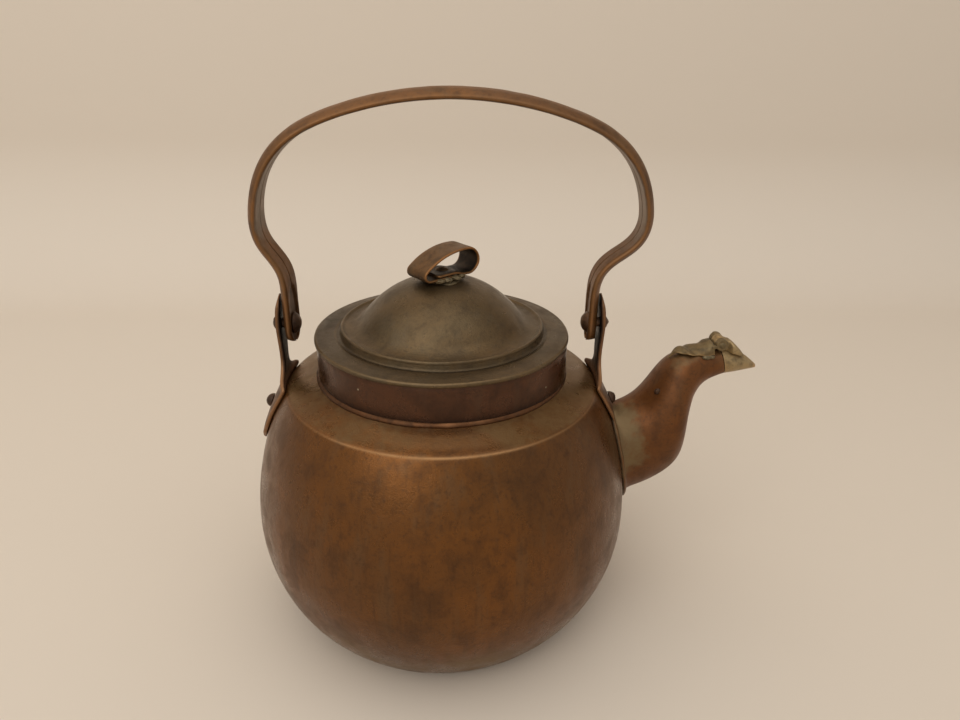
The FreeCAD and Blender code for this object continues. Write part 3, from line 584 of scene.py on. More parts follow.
# centre line of the strip in its own plane: lower lap, front bend, arch, back bend and upper lap
def loopLine():
    half, lapZ = loop["thick"] / 2, loop["seatZ"] + loop["thick"] / 2
    bendF = np.array([loop["frontX"], loop["seatZ"] + loop["frontR"]])
    bendB = np.array([loop["backX"], loop["seatZ"] + loop["backR"]])
    gap, toward = np.linalg.norm(bendB - bendF), unit(bendB - bendF)
    fromF, fromB = loop["archR"] - loop["frontR"], loop["archR"] - loop["backR"]
    step = (gap ** 2 + fromF ** 2 - fromB ** 2) / (2 * gap)
    mid = bendF + toward * step + np.array([toward[1], -toward[0]]) * np.sqrt(fromF ** 2 - step ** 2)
    turnF, turnB = heading(bendF - mid), heading(bendB - mid)
    lower = np.array([[loop["lowerEndX"], lapZ], [loop["frontX"], lapZ]])
    front = arcRun(*bendF, loop["frontR"] - half, 270, turnF, 26)
    arch = arcRun(*mid, loop["archR"] - half, turnF, turnB, 30)
    back = arcRun(*bendB, loop["backR"] - half, turnB, -84, 30)
    upper = softRun([back[-1], [5.4, lapZ + 0.1], [2.6, lapZ + 1.05], [loop["upperEndX"], lapZ + 1.0]],
                    [1.0, 1.4])
    path = evenRun(join([lower, front[1:], arch[1:], back[1:], upper[1:]]), 0.4)
    return join([path[:1], (path[:-2] + 2 * path[1:-1] + path[2:]) / 4, path[-1:]])


# strip section, a little hollow across, carried along the line
def buildLoop():
    path = loopLine()
    x0, z0 = path[:, :1], path[:, 1:]
    ahead = unit(np.gradient(path, axis=0))
    across, thick = stripRing(40, 0.35, 0.5)
    share = shares(len(path))
    ends = np.minimum(ease(share, 0, 0.012), ease(share, 1, 0.988))
    wander = loop["wander"] * uneven(join([x0, 0 * x0, z0], 1), 9, 71)[:, None]
    y = (loop["wide"] / 2 + wander) * (0.88 + 0.12 * np.sqrt(ends)) * across
    h = loop["thick"] / 2 * thick - loop["dip"] * (1 - across ** 2)
    x, z = x0 - ahead[:, 1:] * h, z0 + ahead[:, :1] * h
    grid = gridOf(*loopTurned(x, y), z)
    # painted highlights on the strip's edges; painted shade on its underside and near its feet
    wearAndPaintedLight = loop["edgeHighlight"] * ease(np.abs(across), 0.82, 0.99)
    wearAndPaintedLight = wearAndPaintedLight - loop["insideShade"] * ((thick < -0.2) & (np.abs(across) < 0.9))
    wearAndPaintedLight = wearAndPaintedLight - loop["footShade"] * ease(z, loop["seatZ"] + 3.2, loop["seatZ"] + 1.0)
    makePiece("lidLoop", capped(grid), "lid", loopCopper, ["lid_loop"], marks=[wearAndPaintedLight])


# solder lump: an egg form, its surface wandering
def lump(mid, sizes, seed):
    a, b = ringTurns(40), np.linspace(0, np.pi, 24)[:, None]
    ball = polar(np.sin(b), a, np.cos(b))
    swell = 1 + 0.22 * uneven(ball, 1.1, seed, 12)
    return np.asarray(mid) + ball * swell[..., None] * np.asarray(sizes)


# each lump: along the loop, across it, height over the crown and size
puddle = {"r": 7.0, "wander": 1.0, "high": 0.55, "rough": 0.22, "sink": 0.25, "lumpHigh": 0.9, "lumps": (
    (-4.6, -4.9, 0.55, 1.5), (-1.5, -5.3, 0.45, 1.3), (1.6, -5.2, 0.65, 1.6), (4.6, -4.4, 0.55, 1.3),
    (-3.0, 4.8, 0.45, 1.4), (2.4, 5.0, 0.55, 1.5), (5.6, 1.4, 0.65, 1.1))}


# lumpy puddle: a low dome whose edge and height wander, its underside in the crown
def buildLoopSolder():
    a, s = ringTurns(120), shares(26)
    r = (puddle["r"] + puddle["wander"] * uneven(polar(6.0, a, 0.0), 7, 81, 14)) * s
    crown = crownMid + np.sqrt(lid["crown"] ** 2 - r ** 2)
    grid = polar(r, a, crown + puddle["high"] * (1 - s ** 3))
    grid[..., 2] += puddle["rough"] * uneven(grid, 4.5, 82, 18) * (1 - s ** 4)
    grids = [grid, join([grid[-1:], polar(r, a, crown - puddle["sink"])[::-1]])]
    for k, (along, across, up, size) in enumerate(puddle["lumps"]):
        mid = (*loopTurned(along, across), crownZ + up)
        grids.append(lump(mid, (size * 1.2, size, puddle["lumpHigh"]), 83 + k))
    makePiece("loopSolder", grids, "lid", greySolder, ["lid_loop_solder"], sharp=80)


buildLoop()
buildLoopSolder()
print("stage 6: lid loop")


# bail

bail = {"wide": 12.0, "thick": 3.6, "edge": 1.1, "legX": 52.2, "endZ": 104.6, "bendLowZ": 130.0,
        "bendHighZ": 140.5, "bendFront": 7.1, "bendRear": 4.6, "half": 64.2, "lean": 4.0, "springZ": 148.9,
        "sideR": 30.0, "topZ": 186.1, "step": 0.45, "smoothing": 420, "seam": 0.42, "press": 0.6,
        "leafHalf": 4.5, "leafZ": 110.5, "leafTop": 125.0, "toeLeast": 0.08, "twistRear": 6.0,
        "twistFront": 3.0, "rough": 0.05, "edgeHighlight": 0.35, "topHighlight": 0.45, "seamSoot": 0.95,
        "leafShade": 0.3, "legShade": 0.1, "filmAndReflection": 0.55}


# centre line of the bail in the x-z plane: leg, two bends, haunch and top arch on each side
def bailLine():
    rise, flat = bail["topZ"] - bail["springZ"], bail["half"] - bail["sideR"]
    topR = (rise ** 2 + flat ** 2 - bail["sideR"] ** 2) / (2 * (rise - bail["sideR"]))
    topMid = np.array([bail["lean"], bail["topZ"] - topR])

    def side(sign, soft):
        x, legX = bail["lean"] + sign * bail["half"], sign * bail["legX"]
        leg = softRun([[legX, bail["endZ"]], [legX, bail["bendLowZ"]], [x, bail["bendHighZ"]],
                       [x, bail["springZ"]]], [soft, soft], 15)
        mid = np.array([x - sign * bail["sideR"], bail["springZ"]])
        turn = heading(mid - topMid)
        haunch = arcRun(*mid, bail["sideR"], 0 if sign > 0 else 180, turn, 40)
        return join([leg, haunch[1:]]), turn

    rear, turnRear = side(-1, bail["bendRear"])
    fore, turnFore = side(1, bail["bendFront"])
    top = arcRun(*topMid, topR, turnRear, turnFore, 60)
    line = evenRun(join([rear, top[1:-1], fore[::-1]]), bail["step"])
    # bent by hand, so the runs flow into each other, above all at the haunches
    for k in range(bail["smoothing"]):
        much = 0.16 + 0.84 * ease(line[1:-1, 1:], 146, 156)
        line[1:-1] += much * ((line[:-2] + line[2:]) / 2 - line[1:-1]) / 2
    return evenRun(line, bail["step"])


# D section: flat towards the pot with the tube's seam along it, bowed away from it
def bailSection():
    half, low, edge = bail["wide"] / 2, -bail["thick"] / 2, bail["edge"]
    y = np.sort(join([np.linspace(-half + edge, half - edge, 15), np.linspace(-0.6, 0.6, 14)]))
    flat = np.stack([y, np.full_like(y, low)], -1)
    cornerA = arcRun(half - edge, low + edge, edge, -90, 0, 7)[1:]
    bowR = arcR(bail["thick"] - edge, half)
    reach = np.degrees(np.arcsin(half / bowR))
    bow = arcRun(0, -low - bowR, bowR, 90 - reach, 90 + reach, 31)[1:]
    cornerB = arcRun(edge - half, low + edge, edge, 180, 270, 7)[1:-1]
    return join([flat, cornerA, bow, cornerB])


# section carried along the line; the ends are rounded and their inner face opens into a leaf at the rivet
def buildBail():
    line, section = bailLine(), bailSection()
    ahead = unit(np.gradient(line, axis=0))
    x0, z0, y0, h0 = line[:, :1], line[:, 1:], section[:, 0], section[:, 1]
    toe = np.clip((z0 - bail["endZ"]) / (bail["wide"] / 2), 0, 1)
    plan = np.maximum(np.sqrt(1 - (1 - toe) ** 2), bail["toeLeast"])
    y = y0 * plan * (1 + 0.012 * uneven(join([line, 0 * x0], 1), 18, 91)[:, None])
    inner = ease(-h0, 0.9, 1.7)
    seam = bail["seam"] * hill(y0, 0, 0.22) * inner * ease(z0, 118, 126)
    upLeaf = np.clip((z0 - bail["leafZ"]) / (bail["leafTop"] - bail["leafZ"]), 0, 1)
    leafHalf = bail["leafHalf"] * np.sqrt(1 - upLeaf ** 2) + 0.02
    below = ease(z0, bail["leafTop"] + 0.5, bail["leafTop"] - 1.5)
    leaf = ease(1 - np.abs(y0) / leafHalf, 0.0, 0.22) * inner * below
    h = h0 + np.maximum(seam, bail["press"] * leaf)
    most = np.where(x0 < bail["lean"], bail["twistRear"], bail["twistFront"])
    twist = np.radians(most) * ease(z0, 162, 128)
    aside = -ahead[:, 1:] * h
    grid = gridOf(x0 + aside * np.cos(twist) + y * np.sin(twist), y * np.cos(twist) - aside * np.sin(twist),
                  z0 + ahead[:, :1] * h)
    grid = grid + bail["rough"] * uneven(grid, 9, 93, 16)[..., None] * gridNormals(grid)
    # painted highlights on the edges and along the top; the seam darker; painted shade in the leaf opening
    # and down the inner face of the legs
    wearAndPaintedLight = bail["edgeHighlight"] * ease(np.abs(y0), 5.0, 5.9)
    wearAndPaintedLight = wearAndPaintedLight + bail["topHighlight"] * ease(h0, 0.8, 1.9) * ease(z0, 150, 178)
    wearAndPaintedLight = wearAndPaintedLight - bail["seamSoot"] * hill(y0, 0, 0.3) * inner * ease(z0, 117, 122)
    wearAndPaintedLight = wearAndPaintedLight - bail["leafShade"] * leaf - bail["legShade"] * inner * ease(z0, 150, 112)
    # the grey on the bail's inner face, higher up, is a painted reflection of the pot's wall
    return makePiece("bailTube", capped(grid), "bail", bailCopper, ["bail"], sharp=60,
                     marks=[wearAndPaintedLight], filmsAndReflections=[bail["filmAndReflection"] * inner * ease(z0, 120, 150)])


bailTube = buildBail()
print("stage 7: bail,", len(bailTube.data.polygons), "faces")


# ears

# half width by height: leaf-shaped foot, wings at the crease, waist and tongue; then the strap's place
ear = {"thick": 1.8, "tipZ": 121.5, "footZ": 66.0, "frontFootZ": 75.5, "rows": 150, "columns": 72,
       "rough": 0.07, "endThin": 0.35, "edgeHighlight": 0.75, "backShade": 0.9, "tongueShade": 0.35,
       "halfByZ": ((66, 0.4), (68, 3.2), (71, 6.2), (75, 8.6), (79, 10.2), (83, 11.4), (87, 12.4),
                   (90.4, 13.0), (91.5, 12.6), (92.4, 9.2), (93.8, 6.2), (95.6, 4.2), (98, 3.3), (103, 3.9),
                   (108, 4.5), (112, 4.75), (115.5, 4.6), (118, 4.1), (119.8, 3.1), (121, 1.7), (121.5, 0.3)),
       "strapByZ": ((90, 55.6), (97, 55.5), (101.5, 55.5), (106, 55.6), (111, 55.7), (116, 55.4),
                    (121.5, 54.7))}


# middle surface of the ear on the spout side: the strap above, the foot laid on the belly below
def earMid(y, z):
    strap = np.interp(z, *zip(*ear["strapByZ"]))
    foot = np.sqrt(np.maximum(bellyR(np.minimum(z, 90.6), ear["thick"] / 2) ** 2 - y ** 2, 0))
    return foot + (strap - foot) * ease(z, 89.8, 94.5)


# rounded section carried up the ear: y from the half width, thickness along the middle surface's normal
def buildEar(name, node, sign, seed):
    low = ear["frontFootZ"] if sign > 0 else ear["footZ"]
    s = shares(ear["rows"])
    z = low + (ear["tipZ"] - low) * (s - 0.06 * np.sin(tau * s))
    across, thick = stripRing(ear["columns"], 0.45, 0.4)
    half = np.interp(z, *zip(*ear["halfByZ"]))
    half[1:-1] = (half[:-2] + half[1:-1] + half[2:]) / 3
    y = half * across * (1 + 0.03 * uneven(z * [0, 0, 1], 8, seed)[:, None])
    step = 0.05
    dy = (earMid(y + step, z) - earMid(y - step, z)) / (2 * step)
    dz = (earMid(y, z + step) - earMid(y, z - step)) / (2 * step)
    thin = ear["endThin"] + (1 - ear["endThin"]) * ease(np.minimum(z - low, ear["tipZ"] - z), 0.0, 4.5)
    h = ear["thick"] / 2 * thick * thin / np.sqrt(1 + dy ** 2 + dz ** 2)
    grid = gridOf(earMid(y, z) + h, y - h * dy, z - h * dz)
    grid[..., 0] = sign * (grid[..., 0] + ear["rough"] * uneven(grid, 7, seed + 1, 16))
    # painted highlights on the edges; painted shade on the tongue and on the face towards the pot
    wearAndPaintedLight = ear["edgeHighlight"] * ease(np.abs(across), 0.86, 1.0) - ear["tongueShade"] * ease(z, 92, 101)
    wearAndPaintedLight = wearAndPaintedLight - ear["backShade"] * (thick < -0.2) * ease(z, 90, 97)
    makePiece(name, capped(grid), "pot", earCopper, [node], sharp=60, marks=[wearAndPaintedLight])


buildEar("earFront", "ear_front", 1, 101)
buildEar("earRear", "ear_rear", -1, 111)

# head and tail: radius and height
pivotRivet = {"head": (3.8, 2.4), "shankR": 1.7, "tail": (2.7, 1.5), "seed": 121}
footRivet = {"head": (2.4, 1.9), "shankR": 1.4, "tail": (2.5, 2.2), "seed": 131}
rivetPlace = {"pivotZ": 111.0, "pivotIn": 3.2, "pivotEndX": 56.6, "footZ": 79.8, "beaten": 0.035,
              "shine": 0.7}


# domed end of a rivet, from its top on the axis out to its rim at height 0
def rivetDome(radius, height):
    ball = arcR(height, radius)
    reach = np.degrees(np.arcsin(min(1.0, radius / ball)))
    return arcRun(0, ball - height, ball, 270, 270 + reach, 16)


# rivet about an axis: head, shank and closed tail in one turned outline, the head beaten out of round
def buildRivet(name, node, rivet, start, way, length, seed):
    tail = rivetDome(*rivet["tail"])[::-1] * [1, -1] + [0, length]
    shank = [[rivet["shankR"], 0.02], [rivet["shankR"], length - 0.02]]
    line = evenRun(join([rivetDome(*rivet["head"]), shank, tail]), 0.22)
    grid = lathe(line, 48)
    offAxis = np.hypot(grid[..., 0], grid[..., 1]) > rivet["shankR"] * 0.3
    grid = grid * (1 + rivetPlace["beaten"] * uneven(grid, 2.6, seed, 14) * offAxis)[..., None]
    sideA = unit(np.cross(way, [0.0, 1.0, 0.0]))
    sideB = np.cross(way, sideA)
    grid = start + grid[..., :1] * sideA + grid[..., 1:2] * sideB + grid[..., 2:] * way
    # painted highlight on the top of the head
    makePiece(name, [grid], "pot", rivetCopper, [node], sharp=70,
              marks=[rivetPlace["shine"] * hill(np.arange(len(line)), 0, 9.0)[:, None]])


pivotX, footZ = bail["legX"] + bail["thick"] / 2 - rivetPlace["pivotIn"], rivetPlace["footZ"]
footX = float(bellyR(footZ))
footWay = unit(np.array([footX - highX, 0.0, footZ - pot["bellyZ"]]))
for side, sign in (("Front", 1), ("Rear", -1)):
    mirror = np.array([sign, 1.0, 1.0])
    buildRivet("pivotRivet" + side, "pivot_rivet_" + side.lower(), pivotRivet,
               mirror * [pivotX, 0, rivetPlace["pivotZ"]], mirror * [1.0, 0, 0],
               rivetPlace["pivotEndX"] - pivotX, pivotRivet["seed"] + sign)
    buildRivet("earRivet" + side, "ear_rivet_" + side.lower(), footRivet,
               mirror * [footX - pot["wall"], 0, footZ], mirror * footWay, pot["wall"] + ear["thick"],
               footRivet["seed"] + sign)
print("stage 8: ears and rivets")


# spout

spout = {"rootLowZ": 40.0, "rootHighZ": 75.5, "sink": 7.0, "rootShare": 0.74, "mouthShare": 0.98, "wall": 1.0,
         "under": [[88.6, 58.0], [90.2, 76.0], [94.4, 87.6], [101.4, 91.2]],
         "over": [[71.6, 82.8], [83.2, 97.8], [99.2, 100.8]],
         "flareOut": 0.9, "rootShade": 0.25, "mouthShine": 0.25, "insideShade": 0.8, "rootFilm": 0.64,
         "rootReach": 0.31, "leafFilm": 0.45}
underLine = smoothLine([[bellyR(spout["rootLowZ"]) - spout["sink"], spout["rootLowZ"]]] + spout["under"])
overLine = smoothLine([[bellyR(spout["rootHighZ"]) - spout["sink"], spout["rootHighZ"]]] + spout["over"])


# point of a tube's skin at a share of its length and an angle from its top, moved out by grow:
# ellipses that stand between an under line and an over line
def tubeSkin(under, over, wideShare, share, angle, grow):
    share, angle, grow = np.broadcast_arrays(share, angle, grow)
    low, high = under(share), over(share)
    mid, rise = (low + high) / 2, unit(high - low)
    tall = np.linalg.norm(high - low, axis=-1) / 2
    wide = np.maximum(tall * wideShare + grow, 0.05)
    up = np.maximum(tall + grow, 0.05) * np.cos(angle)
    return gridOf(mid[..., 0] + rise[..., 0] * up, wide * np.sin(angle), mid[..., 1] + rise[..., 1] * up)


def spoutSkin(share, angle, grow=0.0):
    wideShare = spout["rootShare"] + (spout["mouthShare"] - spout["rootShare"]) * share
    return tubeSkin(underLine, overLine, wideShare, share, angle, grow)


# where each lengthwise line of the skin leaves the belly
def rootShares(angle, grow):
    s = np.linspace(0, 0.6, 1500)[:, None]
    p = spoutSkin(s, angle, grow)
    inside = np.hypot(p[..., 0], p[..., 1]) < bellyR(p[..., 2])
    return s[np.maximum(len(s) - 1 - np.argmax(inside[::-1], 0), 0), 0]


# outer skin flared at the root, inner skin a wall within, solder run out on the upper root and at the leaf
def buildSpout():
    t, k = ringTurns(128), shares(150)
    root = rootShares(t, 0.0)
    share = root + (1 - root) * (k * 0.75 + 0.25 * k ** 2)
    outer = spoutSkin(share, t, spout["flareOut"] * hill(k, 0, 0.035))
    rough = 0.09 * uneven(outer, 16, 141) + 0.03 * uneven(outer, 5, 142, 18)
    outer = outer - (rough * ease(k, 0, 0.06))[..., None] * gridNormals(outer)
    inner = spoutSkin(share, t, -spout["wall"])[::-1]
    bare = 0 * share
    # brighter at the mouth; painted shade at the root and inside the tube
    wearAndPaintedLight = spout["mouthShine"] * ease(k, 0.93, 1.0) - spout["rootShade"] * ease(k, 0.05, 0.0) + bare
    around = (t + np.pi) % tau - np.pi
    side = ease(-around, -0.35, 0.2) * ease(-around, 2.3, 1.5)
    reach = spout["rootReach"] - 0.05 * ease(-around, 0.7, 1.8)
    reach = reach + 0.07 * uneven(outer, 13, 145) + 0.06 * uneven(outer, 4.5, 146, 16)
    filmAndReflection = spout["rootFilm"] * side * ease(k, reach + 0.12, reach - 0.2)
    filmAndReflection = filmAndReflection + spout["leafFilm"] * ease(k, 0.58, 0.70) * ease(np.abs(around), 1.15, 0.6)
    makePiece("spoutTube", [join([outer, inner])], "pot", spoutCopper, ["spout_tube"],
              marks=[join([wearAndPaintedLight, bare - spout["insideShade"]])], filmsAndReflections=[join([filmAndReflection, bare])], hoop=True)


flange = {"wide": 2.3, "high": 1.5, "out": 0.2, "groove": 0.55, "wander": 0.10, "filmAndReflection": 0.45}


# turned edge: a rounded strip carried round the root on the belly, away from the tube
def buildFlange():
    t, a = ringTurns(200), ringTurns(24)
    root = spoutSkin(rootShares(t, flange["out"]), t, flange["out"])
    for k in range(3):
        root = (np.roll(root, 1, 0) + 2 * root + np.roll(root, -1, 0)) / 4
    ahead = unit(np.roll(root, -1, 0) - np.roll(root, 1, 0))
    step = 0.05
    slope = (bellyR(root[:, 2:] + step) - bellyR(root[:, 2:] - step)) / (2 * step)
    normal = unit(join([unit(root[:, :2]), -slope], 1))
    away = np.cross(ahead, normal)
    away *= np.sign(np.einsum("ij,ij->i", away, root - root.mean(0)))[:, None]
    d = flange["wide"] * (0.36 + 0.62 * blunt(np.cos(a), 0.7))
    h = flange["high"] * (0.36 + 0.6 * blunt(np.sin(a), 0.7))
    h = h - flange["groove"] * hill(d, 0.75, 0.32) * (np.sin(a) > 0.3)  # where the tube turns out
    wander = 1 + flange["wander"] * uneven(root, 9, 151)[:, None]
    grid = root[:, None] + away[:, None] * (d * wander)[..., None] + normal[:, None] * (h * wander)[..., None]
    # painted highlight on the outer top, painted shade in the groove by the tube and on the underside
    wearAndPaintedLight = 0.15 * ease(d, 1.4, 2.1) * (np.sin(a) > 0) - hill(d, 0.7, 0.5) - 0.9 * (np.sin(a) < 0.1)
    makePiece("spoutFlange", [grid], "pot", spoutCopper, ["spout_root_flange"], sharp=70,
              marks=[wearAndPaintedLight], filmsAndReflections=[flange["filmAndReflection"]], hoop=True)


# point of the skin nearest to a place on the side that shows
def skinSpot(x, z):
    q = spoutSkin(np.linspace(0.2, 1, 500)[:, None], np.linspace(-np.pi, 0, 300)).reshape(-1, 3)
    return q[np.argmin((q[:, 0] - x) ** 2 + (q[:, 2] - z) ** 2)]


plug = {"x": 76.9, "z": 86.8, "sizes": (1.15, 0.75, 1.2), "seed": 161}
buildSpout()
buildFlange()
makePiece("spoutPlug", [lump(skinSpot(plug["x"], plug["z"]), plug["sizes"], plug["seed"])], "pot",
          rivetCopper, ["spout_plug"], sharp=80)
print("stage 9: spout")


# hinge leaf, pin and beak flap

hinge = {"x": 98.8, "z": 103.4, "r": 2.2, "half": 4.2, "barrel": 1.9, "gap": 0.2, "leafLong": 17.2,
         "leafEnd": 2.45, "leafThick": 0.7, "leafHalf": 4.2, "tailLift": 1.0, "endLift": 2.2, "footZ": 102.3,
         "shine": 0.25}


# sheet over the spout's top: wavy at its lower edges, with a pointed tail that stands off the spout
def buildLeaf():
    along = np.linspace(0, 1, 2000)
    start, end = np.interp(hinge["x"] - np.array([hinge["leafLong"], hinge["leafEnd"]]),
                           overLine(along)[:, 0], along)
    k = shares(100)
    share = start + (end - start) * k
    half = 0.15 + hinge["leafHalf"] * ease(k, -0.04, 0.62) + 0.36 * np.sin(k * 17) * ease(k, 0.2, 0.5)
    across, thick = stripRing(64, 0.5, 0.4)
    lift = 0.3 + hinge["tailLift"] * ease(k, 0.0, 0.24) * ease(k, 0.55, 0.24)
    lift = lift + hinge["endLift"] * ease(k, 0.55, 1.0) * (1 - across ** 4)
    bulge = 0.38 * np.sin(k * 13 + 1.0) * across ** 2 + 0.26 * np.sin(k * 21 + 2 * across)
    bulge = bulge * ease(k, 0.1, 0.3) * ease(k, 0.95, 0.8)
    wide = spoutSkin(share, np.pi / 2)[..., 1]
    grid = spoutSkin(share, np.clip(half / wide, 0, 1.2) * across,
                     lift + bulge + hinge["leafThick"] / 2 * (1 + thick))
    grid = grid + 0.08 * uneven(grid, 3.0, 181, 16)[..., None] * np.array([0, 0.4, 1.0])
    # painted highlights on the top's edges, painted shade on the underside
    return capped(grid), 0.7 * ease(np.abs(across), 0.86, 1.0) * (thick > -0.5) - 0.9 * (thick < -0.1)


# rolled knuckle: a barrel across, its rim rounded, with the sheet's end showing as a step along it
def knuckle(low, high):
    a, radius = ringTurns(48), hinge["r"]
    line = evenRun(softRun([[0, low], [radius, low], [radius, high], [0, high]], [0.35, 0.35], 6), 0.16)
    r = line[:, :1] * (0.94 + 0.10 * a / tau * line[:, :1] / radius)
    return gridOf(hinge["x"] + r * np.cos(a + 2.2), line[:, 1:], hinge["z"] + r * np.sin(a + 2.2))


# foot of a knuckle: a strip from the leaf up the back of the barrel
def knuckleFoot(low, high):
    (across, thick), u = stripRing(24, 0.4, 0.5), shares(14)
    y = (low + high) / 2 + (high - low) / 2 * across
    z = hinge["footZ"] + 0.5 * u + 0.55 * thick
    return capped(gridOf(hinge["x"] - 3.4 + 2.2 * u, y, z))


def buildHinge():
    grids, leafPaintedLight = buildLeaf()
    marks = [leafPaintedLight, 0.0, 0.0]
    inner = hinge["barrel"] + hinge["gap"]
    for low, high in ((inner, hinge["half"]), (-hinge["half"], -inner)):
        grids += [knuckle(low, high)] + knuckleFoot(low, high)
        marks += [hinge["shine"], 0.0, 0.0, 0.0]
    makePiece("hingeLeaf", grids, "pot", leafCopper, ["flap_hinge_leaf"], sharp=60, marks=marks)


# two lumps on each side of the spout under the leaf's end
def buildLeafSolder():
    grids = []
    for sign in (-1, 1):
        spot = spoutSkin(0.90, 0.78 * sign, 0.3)
        grids += [lump(spot, (1.5, 0.8, 0.9), 191 + sign),
                  lump(spot + np.array([1.9, -0.1 * sign, 0.15]), (1.1, 0.7, 0.7), 195 + sign)]
    makePiece("leafSolder", grids, "pot", greySolder, ["flap_hinge_solder"], sharp=80)


beak = {"x": 113.6, "z": 93.8, "halfTip": 0.7, "tipOut": 0.35, "gap": 0.3, "wall": 0.8, "hollow": 0.75,
        "arch": 1.2, "clear": 0.35, "tongueThick": 0.8, "tipShine": 0.8, "rimShine": 0.5, "insideShade": 0.8}
mouthLow, mouthHigh = np.array(spout["under"][-1]), np.array(spout["over"][-1])
mouthUp = unit(mouthHigh - mouthLow)
mouthOut = np.array([mouthUp[1], -mouthUp[0]]) * beak["gap"]
beakLow, beakHigh = mouthLow + mouthOut, mouthHigh + mouthOut
tipLow, tipHigh = [beak["x"], beak["z"] - beak["halfTip"]], [beak["x"], beak["z"] + beak["halfTip"]]
beakUnder = smoothLine([beakLow, (beakLow + tipLow) / 2, tipLow])
beakOver = smoothLine([beakHigh, (beakHigh + tipHigh) / 2 + beak["arch"], tipHigh])


# tongue of the flap: a strip from over its knuckle down onto the beak's roof, where it widens
def flapTongue():
    (across, thick), u = stripRing(28, 0.5, 0.5), shares(24)
    roof = beakOver(np.linspace(0, 0.5, 200))
    x = hinge["x"] + 0.7 + (roof[-1, 0] - 0.6 - hinge["x"]) * u
    onRoof = np.interp(x, roof[:, 0], roof[:, 1])
    overPin = hinge["z"] + 1.75 - 0.5 * ((x - hinge["x"]) / 2.6) ** 2
    top = np.maximum(overPin, onRoof + 0.5 * (1 - u) ** 0.5 - 0.15)
    sheet = top - beak["tongueThick"]
    bottom = np.where(x < roof[0, 0] + 0.6, sheet, np.minimum(sheet, onRoof - 0.6))
    y = (hinge["barrel"] - 0.05 + 2.2 * ease(x, hinge["x"] + 2.7, hinge["x"] + 4.6)) * across
    z = (top + bottom) / 2 + (top - bottom) / 2 * thick
    return capped(gridOf(x, y, z - 0.05 * np.maximum(np.abs(y) - 1.9, 0) ** 2))


# beak: ellipses between an under line and an over line, hollow at the mouth, with its knuckle and tongue
def buildFlap():
    t, k = ringTurns(72), shares(60)
    outer = tubeSkin(beakUnder, beakOver, spout["mouthShare"], k, t, 0.0)
    outer = outer + 0.05 * uneven(outer, 6, 201, 14)[..., None] * np.array([0.2, 0.6, 0.8])
    hollow = tubeSkin(beakUnder, beakOver, spout["mouthShare"], beak["hollow"] * k[::-1], t, -beak["wall"])
    tip = capped(outer)[2][1:] + np.array([beak["tipOut"], 0, 0])
    floor = capped(hollow)[1][1:]
    keep = hinge["r"] + beak["clear"]
    for part in (outer, hollow):  # the upper rim is cut back round the knuckles
        dx, dz = part[..., 0] - hinge["x"], part[..., 2] - hinge["z"]
        d = np.hypot(dx, dz)
        push = np.where(d < keep, keep / np.maximum(d, 0.3), 1.0)
        part[..., 0], part[..., 2] = hinge["x"] + dx * push, hinge["z"] + dz * push
    wearAndPaintedLight = beak["tipShine"] * ease(k, 0.82, 1.0) + beak["rimShine"] * ease(k, 0.07, 0.0)
    # painted shade inside the beak's hollow
    dark = np.full((len(hollow) + 1, 1), -beak["insideShade"])
    grids = [join([floor, hollow, outer, tip]), knuckle(-hinge["barrel"], hinge["barrel"])] + flapTongue()
    makePiece("beakFlap", grids, "flap", flapPaintedLitCopper, ["spout_flap"],
              marks=[join([dark, wearAndPaintedLight, [[beak["tipShine"]]]]), hinge["shine"]])


buildHinge()
buildLeafSolder()
buildFlap()
# the turned pieces that stay as they are packed
for node, finish in (("lid_flange", lidCopper), ("lid_loop_rivet", loopCopper),
                     ("flap_hinge_pin", leafCopper)):
    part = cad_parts[node]
    part.data.materials.clear()
    part.data.materials.append(finish)
print("stage 10: hinge and flap")


# floor, light and camera, in metres

room = {"floor": rgb(218, 206, 191), "rough": 0.75, "frontY": -2.0, "wallY": 0.42, "sweep": 0.12,
        "wallTop": 1.6, "halfWide": 2.5}


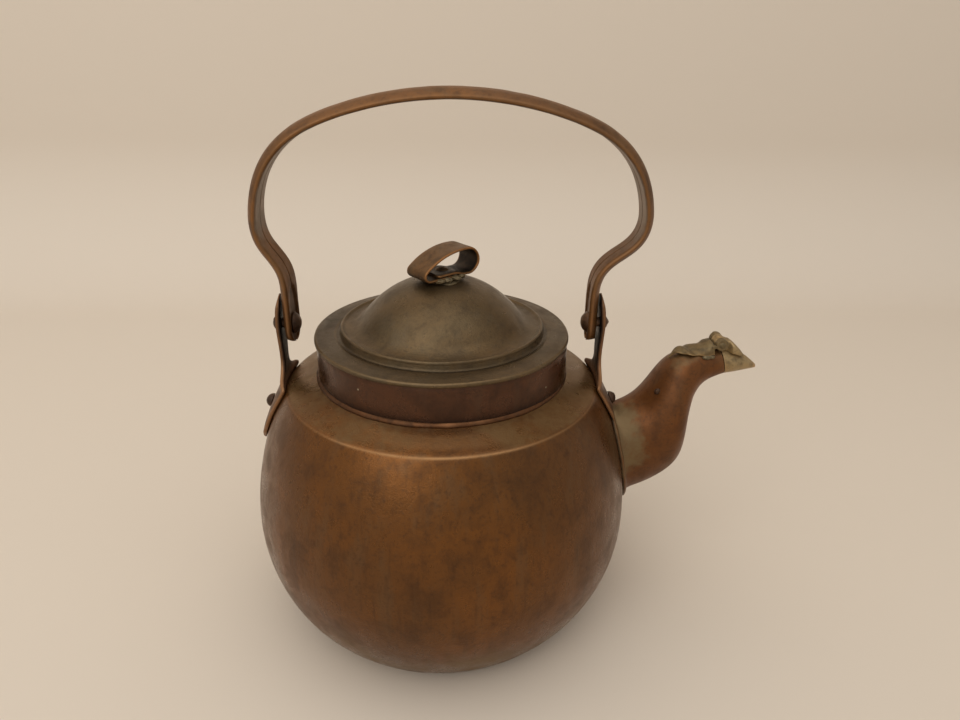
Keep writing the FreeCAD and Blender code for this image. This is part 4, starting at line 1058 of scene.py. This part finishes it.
# floor and wall in one sweep: straight, quarter circle, straight
def buildRoom():
    a = np.linspace(0, np.pi / 2, 24)
    y = join([[room["frontY"]], room["wallY"] - room["sweep"] * (1 - np.sin(a)), [room["wallY"]]])[:, None]
    z = join([[0.0], room["sweep"] * (1 - np.cos(a)), [room["wallTop"]]])[:, None]
    grid = gridOf(np.array([-1, 1]) * room["halfWide"], y, z)
    mesh = bpy.data.meshes.new("studioSweep")
    mesh.from_pydata(grid.reshape(-1, 3), [], sheetFaces(len(y), 2, False, False)[:, ::-1])
    mesh.polygons.foreach_set("use_smooth", np.ones(len(mesh.polygons), bool))
    sweep = bpy.data.objects.new("studioSweep", mesh)
    scene.collection.objects.link(sweep)
    mat = bpy.data.materials.new("paleStage")
    mat.use_nodes = True
    shader = mat.node_tree.nodes["Principled BSDF"]
    shader.inputs["Base Color"].default_value = room["floor"]
    shader.inputs["Roughness"].default_value = room["rough"]
    mesh.materials.append(mat)


buildRoom()
sky = {"tint": (1.0, 0.97, 0.93), "strength": 0.58}
lights = {"over": {"at": (-0.15, -0.10, 0.95), "aim": (0, 0, 0.05), "size": 1.3, "power": 4.6,
                   "tint": (1.0, 0.97, 0.92)},
          "front": {"at": (-0.55, -0.95, 0.75), "aim": (0, 0, 0.08), "size": 0.9, "power": 3.2,
                    "tint": (1.0, 0.96, 0.9)}}
world = bpy.data.worlds.new("softWorld")
world.use_nodes = True
world.node_tree.nodes["Background"].inputs["Color"].default_value = (*sky["tint"], 1.0)
world.node_tree.nodes["Background"].inputs["Strength"].default_value = sky["strength"]
scene.world = world
for name, light in lights.items():
    data = bpy.data.lights.new(name + "Light", "AREA")
    data.size, data.energy, data.color = light["size"], light["power"], light["tint"]
    lamp = bpy.data.objects.new(name + "Light", data)
    lamp.location = light["at"]
    lamp.rotation_euler = (Vector(light["aim"]) - Vector(light["at"])).to_track_quat("-Z", "Y").to_euler()
    scene.collection.objects.link(lamp)

view = {"lens": 26.175, "sensor": 36.0, "near": 0.01, "far": 20.0, "at": (0.00257, -0.22665, 0.2000),
        "right": (0.999059, -0.041197, 0.013572), "up": (0.004774, 0.415442, 0.909607)}
eye = bpy.data.cameras.new("photoView")
eye.lens, eye.sensor_width, eye.sensor_fit = view["lens"], view["sensor"], "HORIZONTAL"
eye.clip_start, eye.clip_end = view["near"], view["far"]
camera = bpy.data.objects.new("photoView", eye)
right, up = Vector(view["right"]).normalized(), Vector(view["up"]).normalized()
axes = (right, up, right.cross(up), Vector(view["at"]))
camera.matrix_world = Matrix([[axis[row] for axis in axes] for row in range(3)] + [[0, 0, 0, 1]])
scene.collection.objects.link(camera)
scene.camera = camera

print("stage 11: room, light and camera")
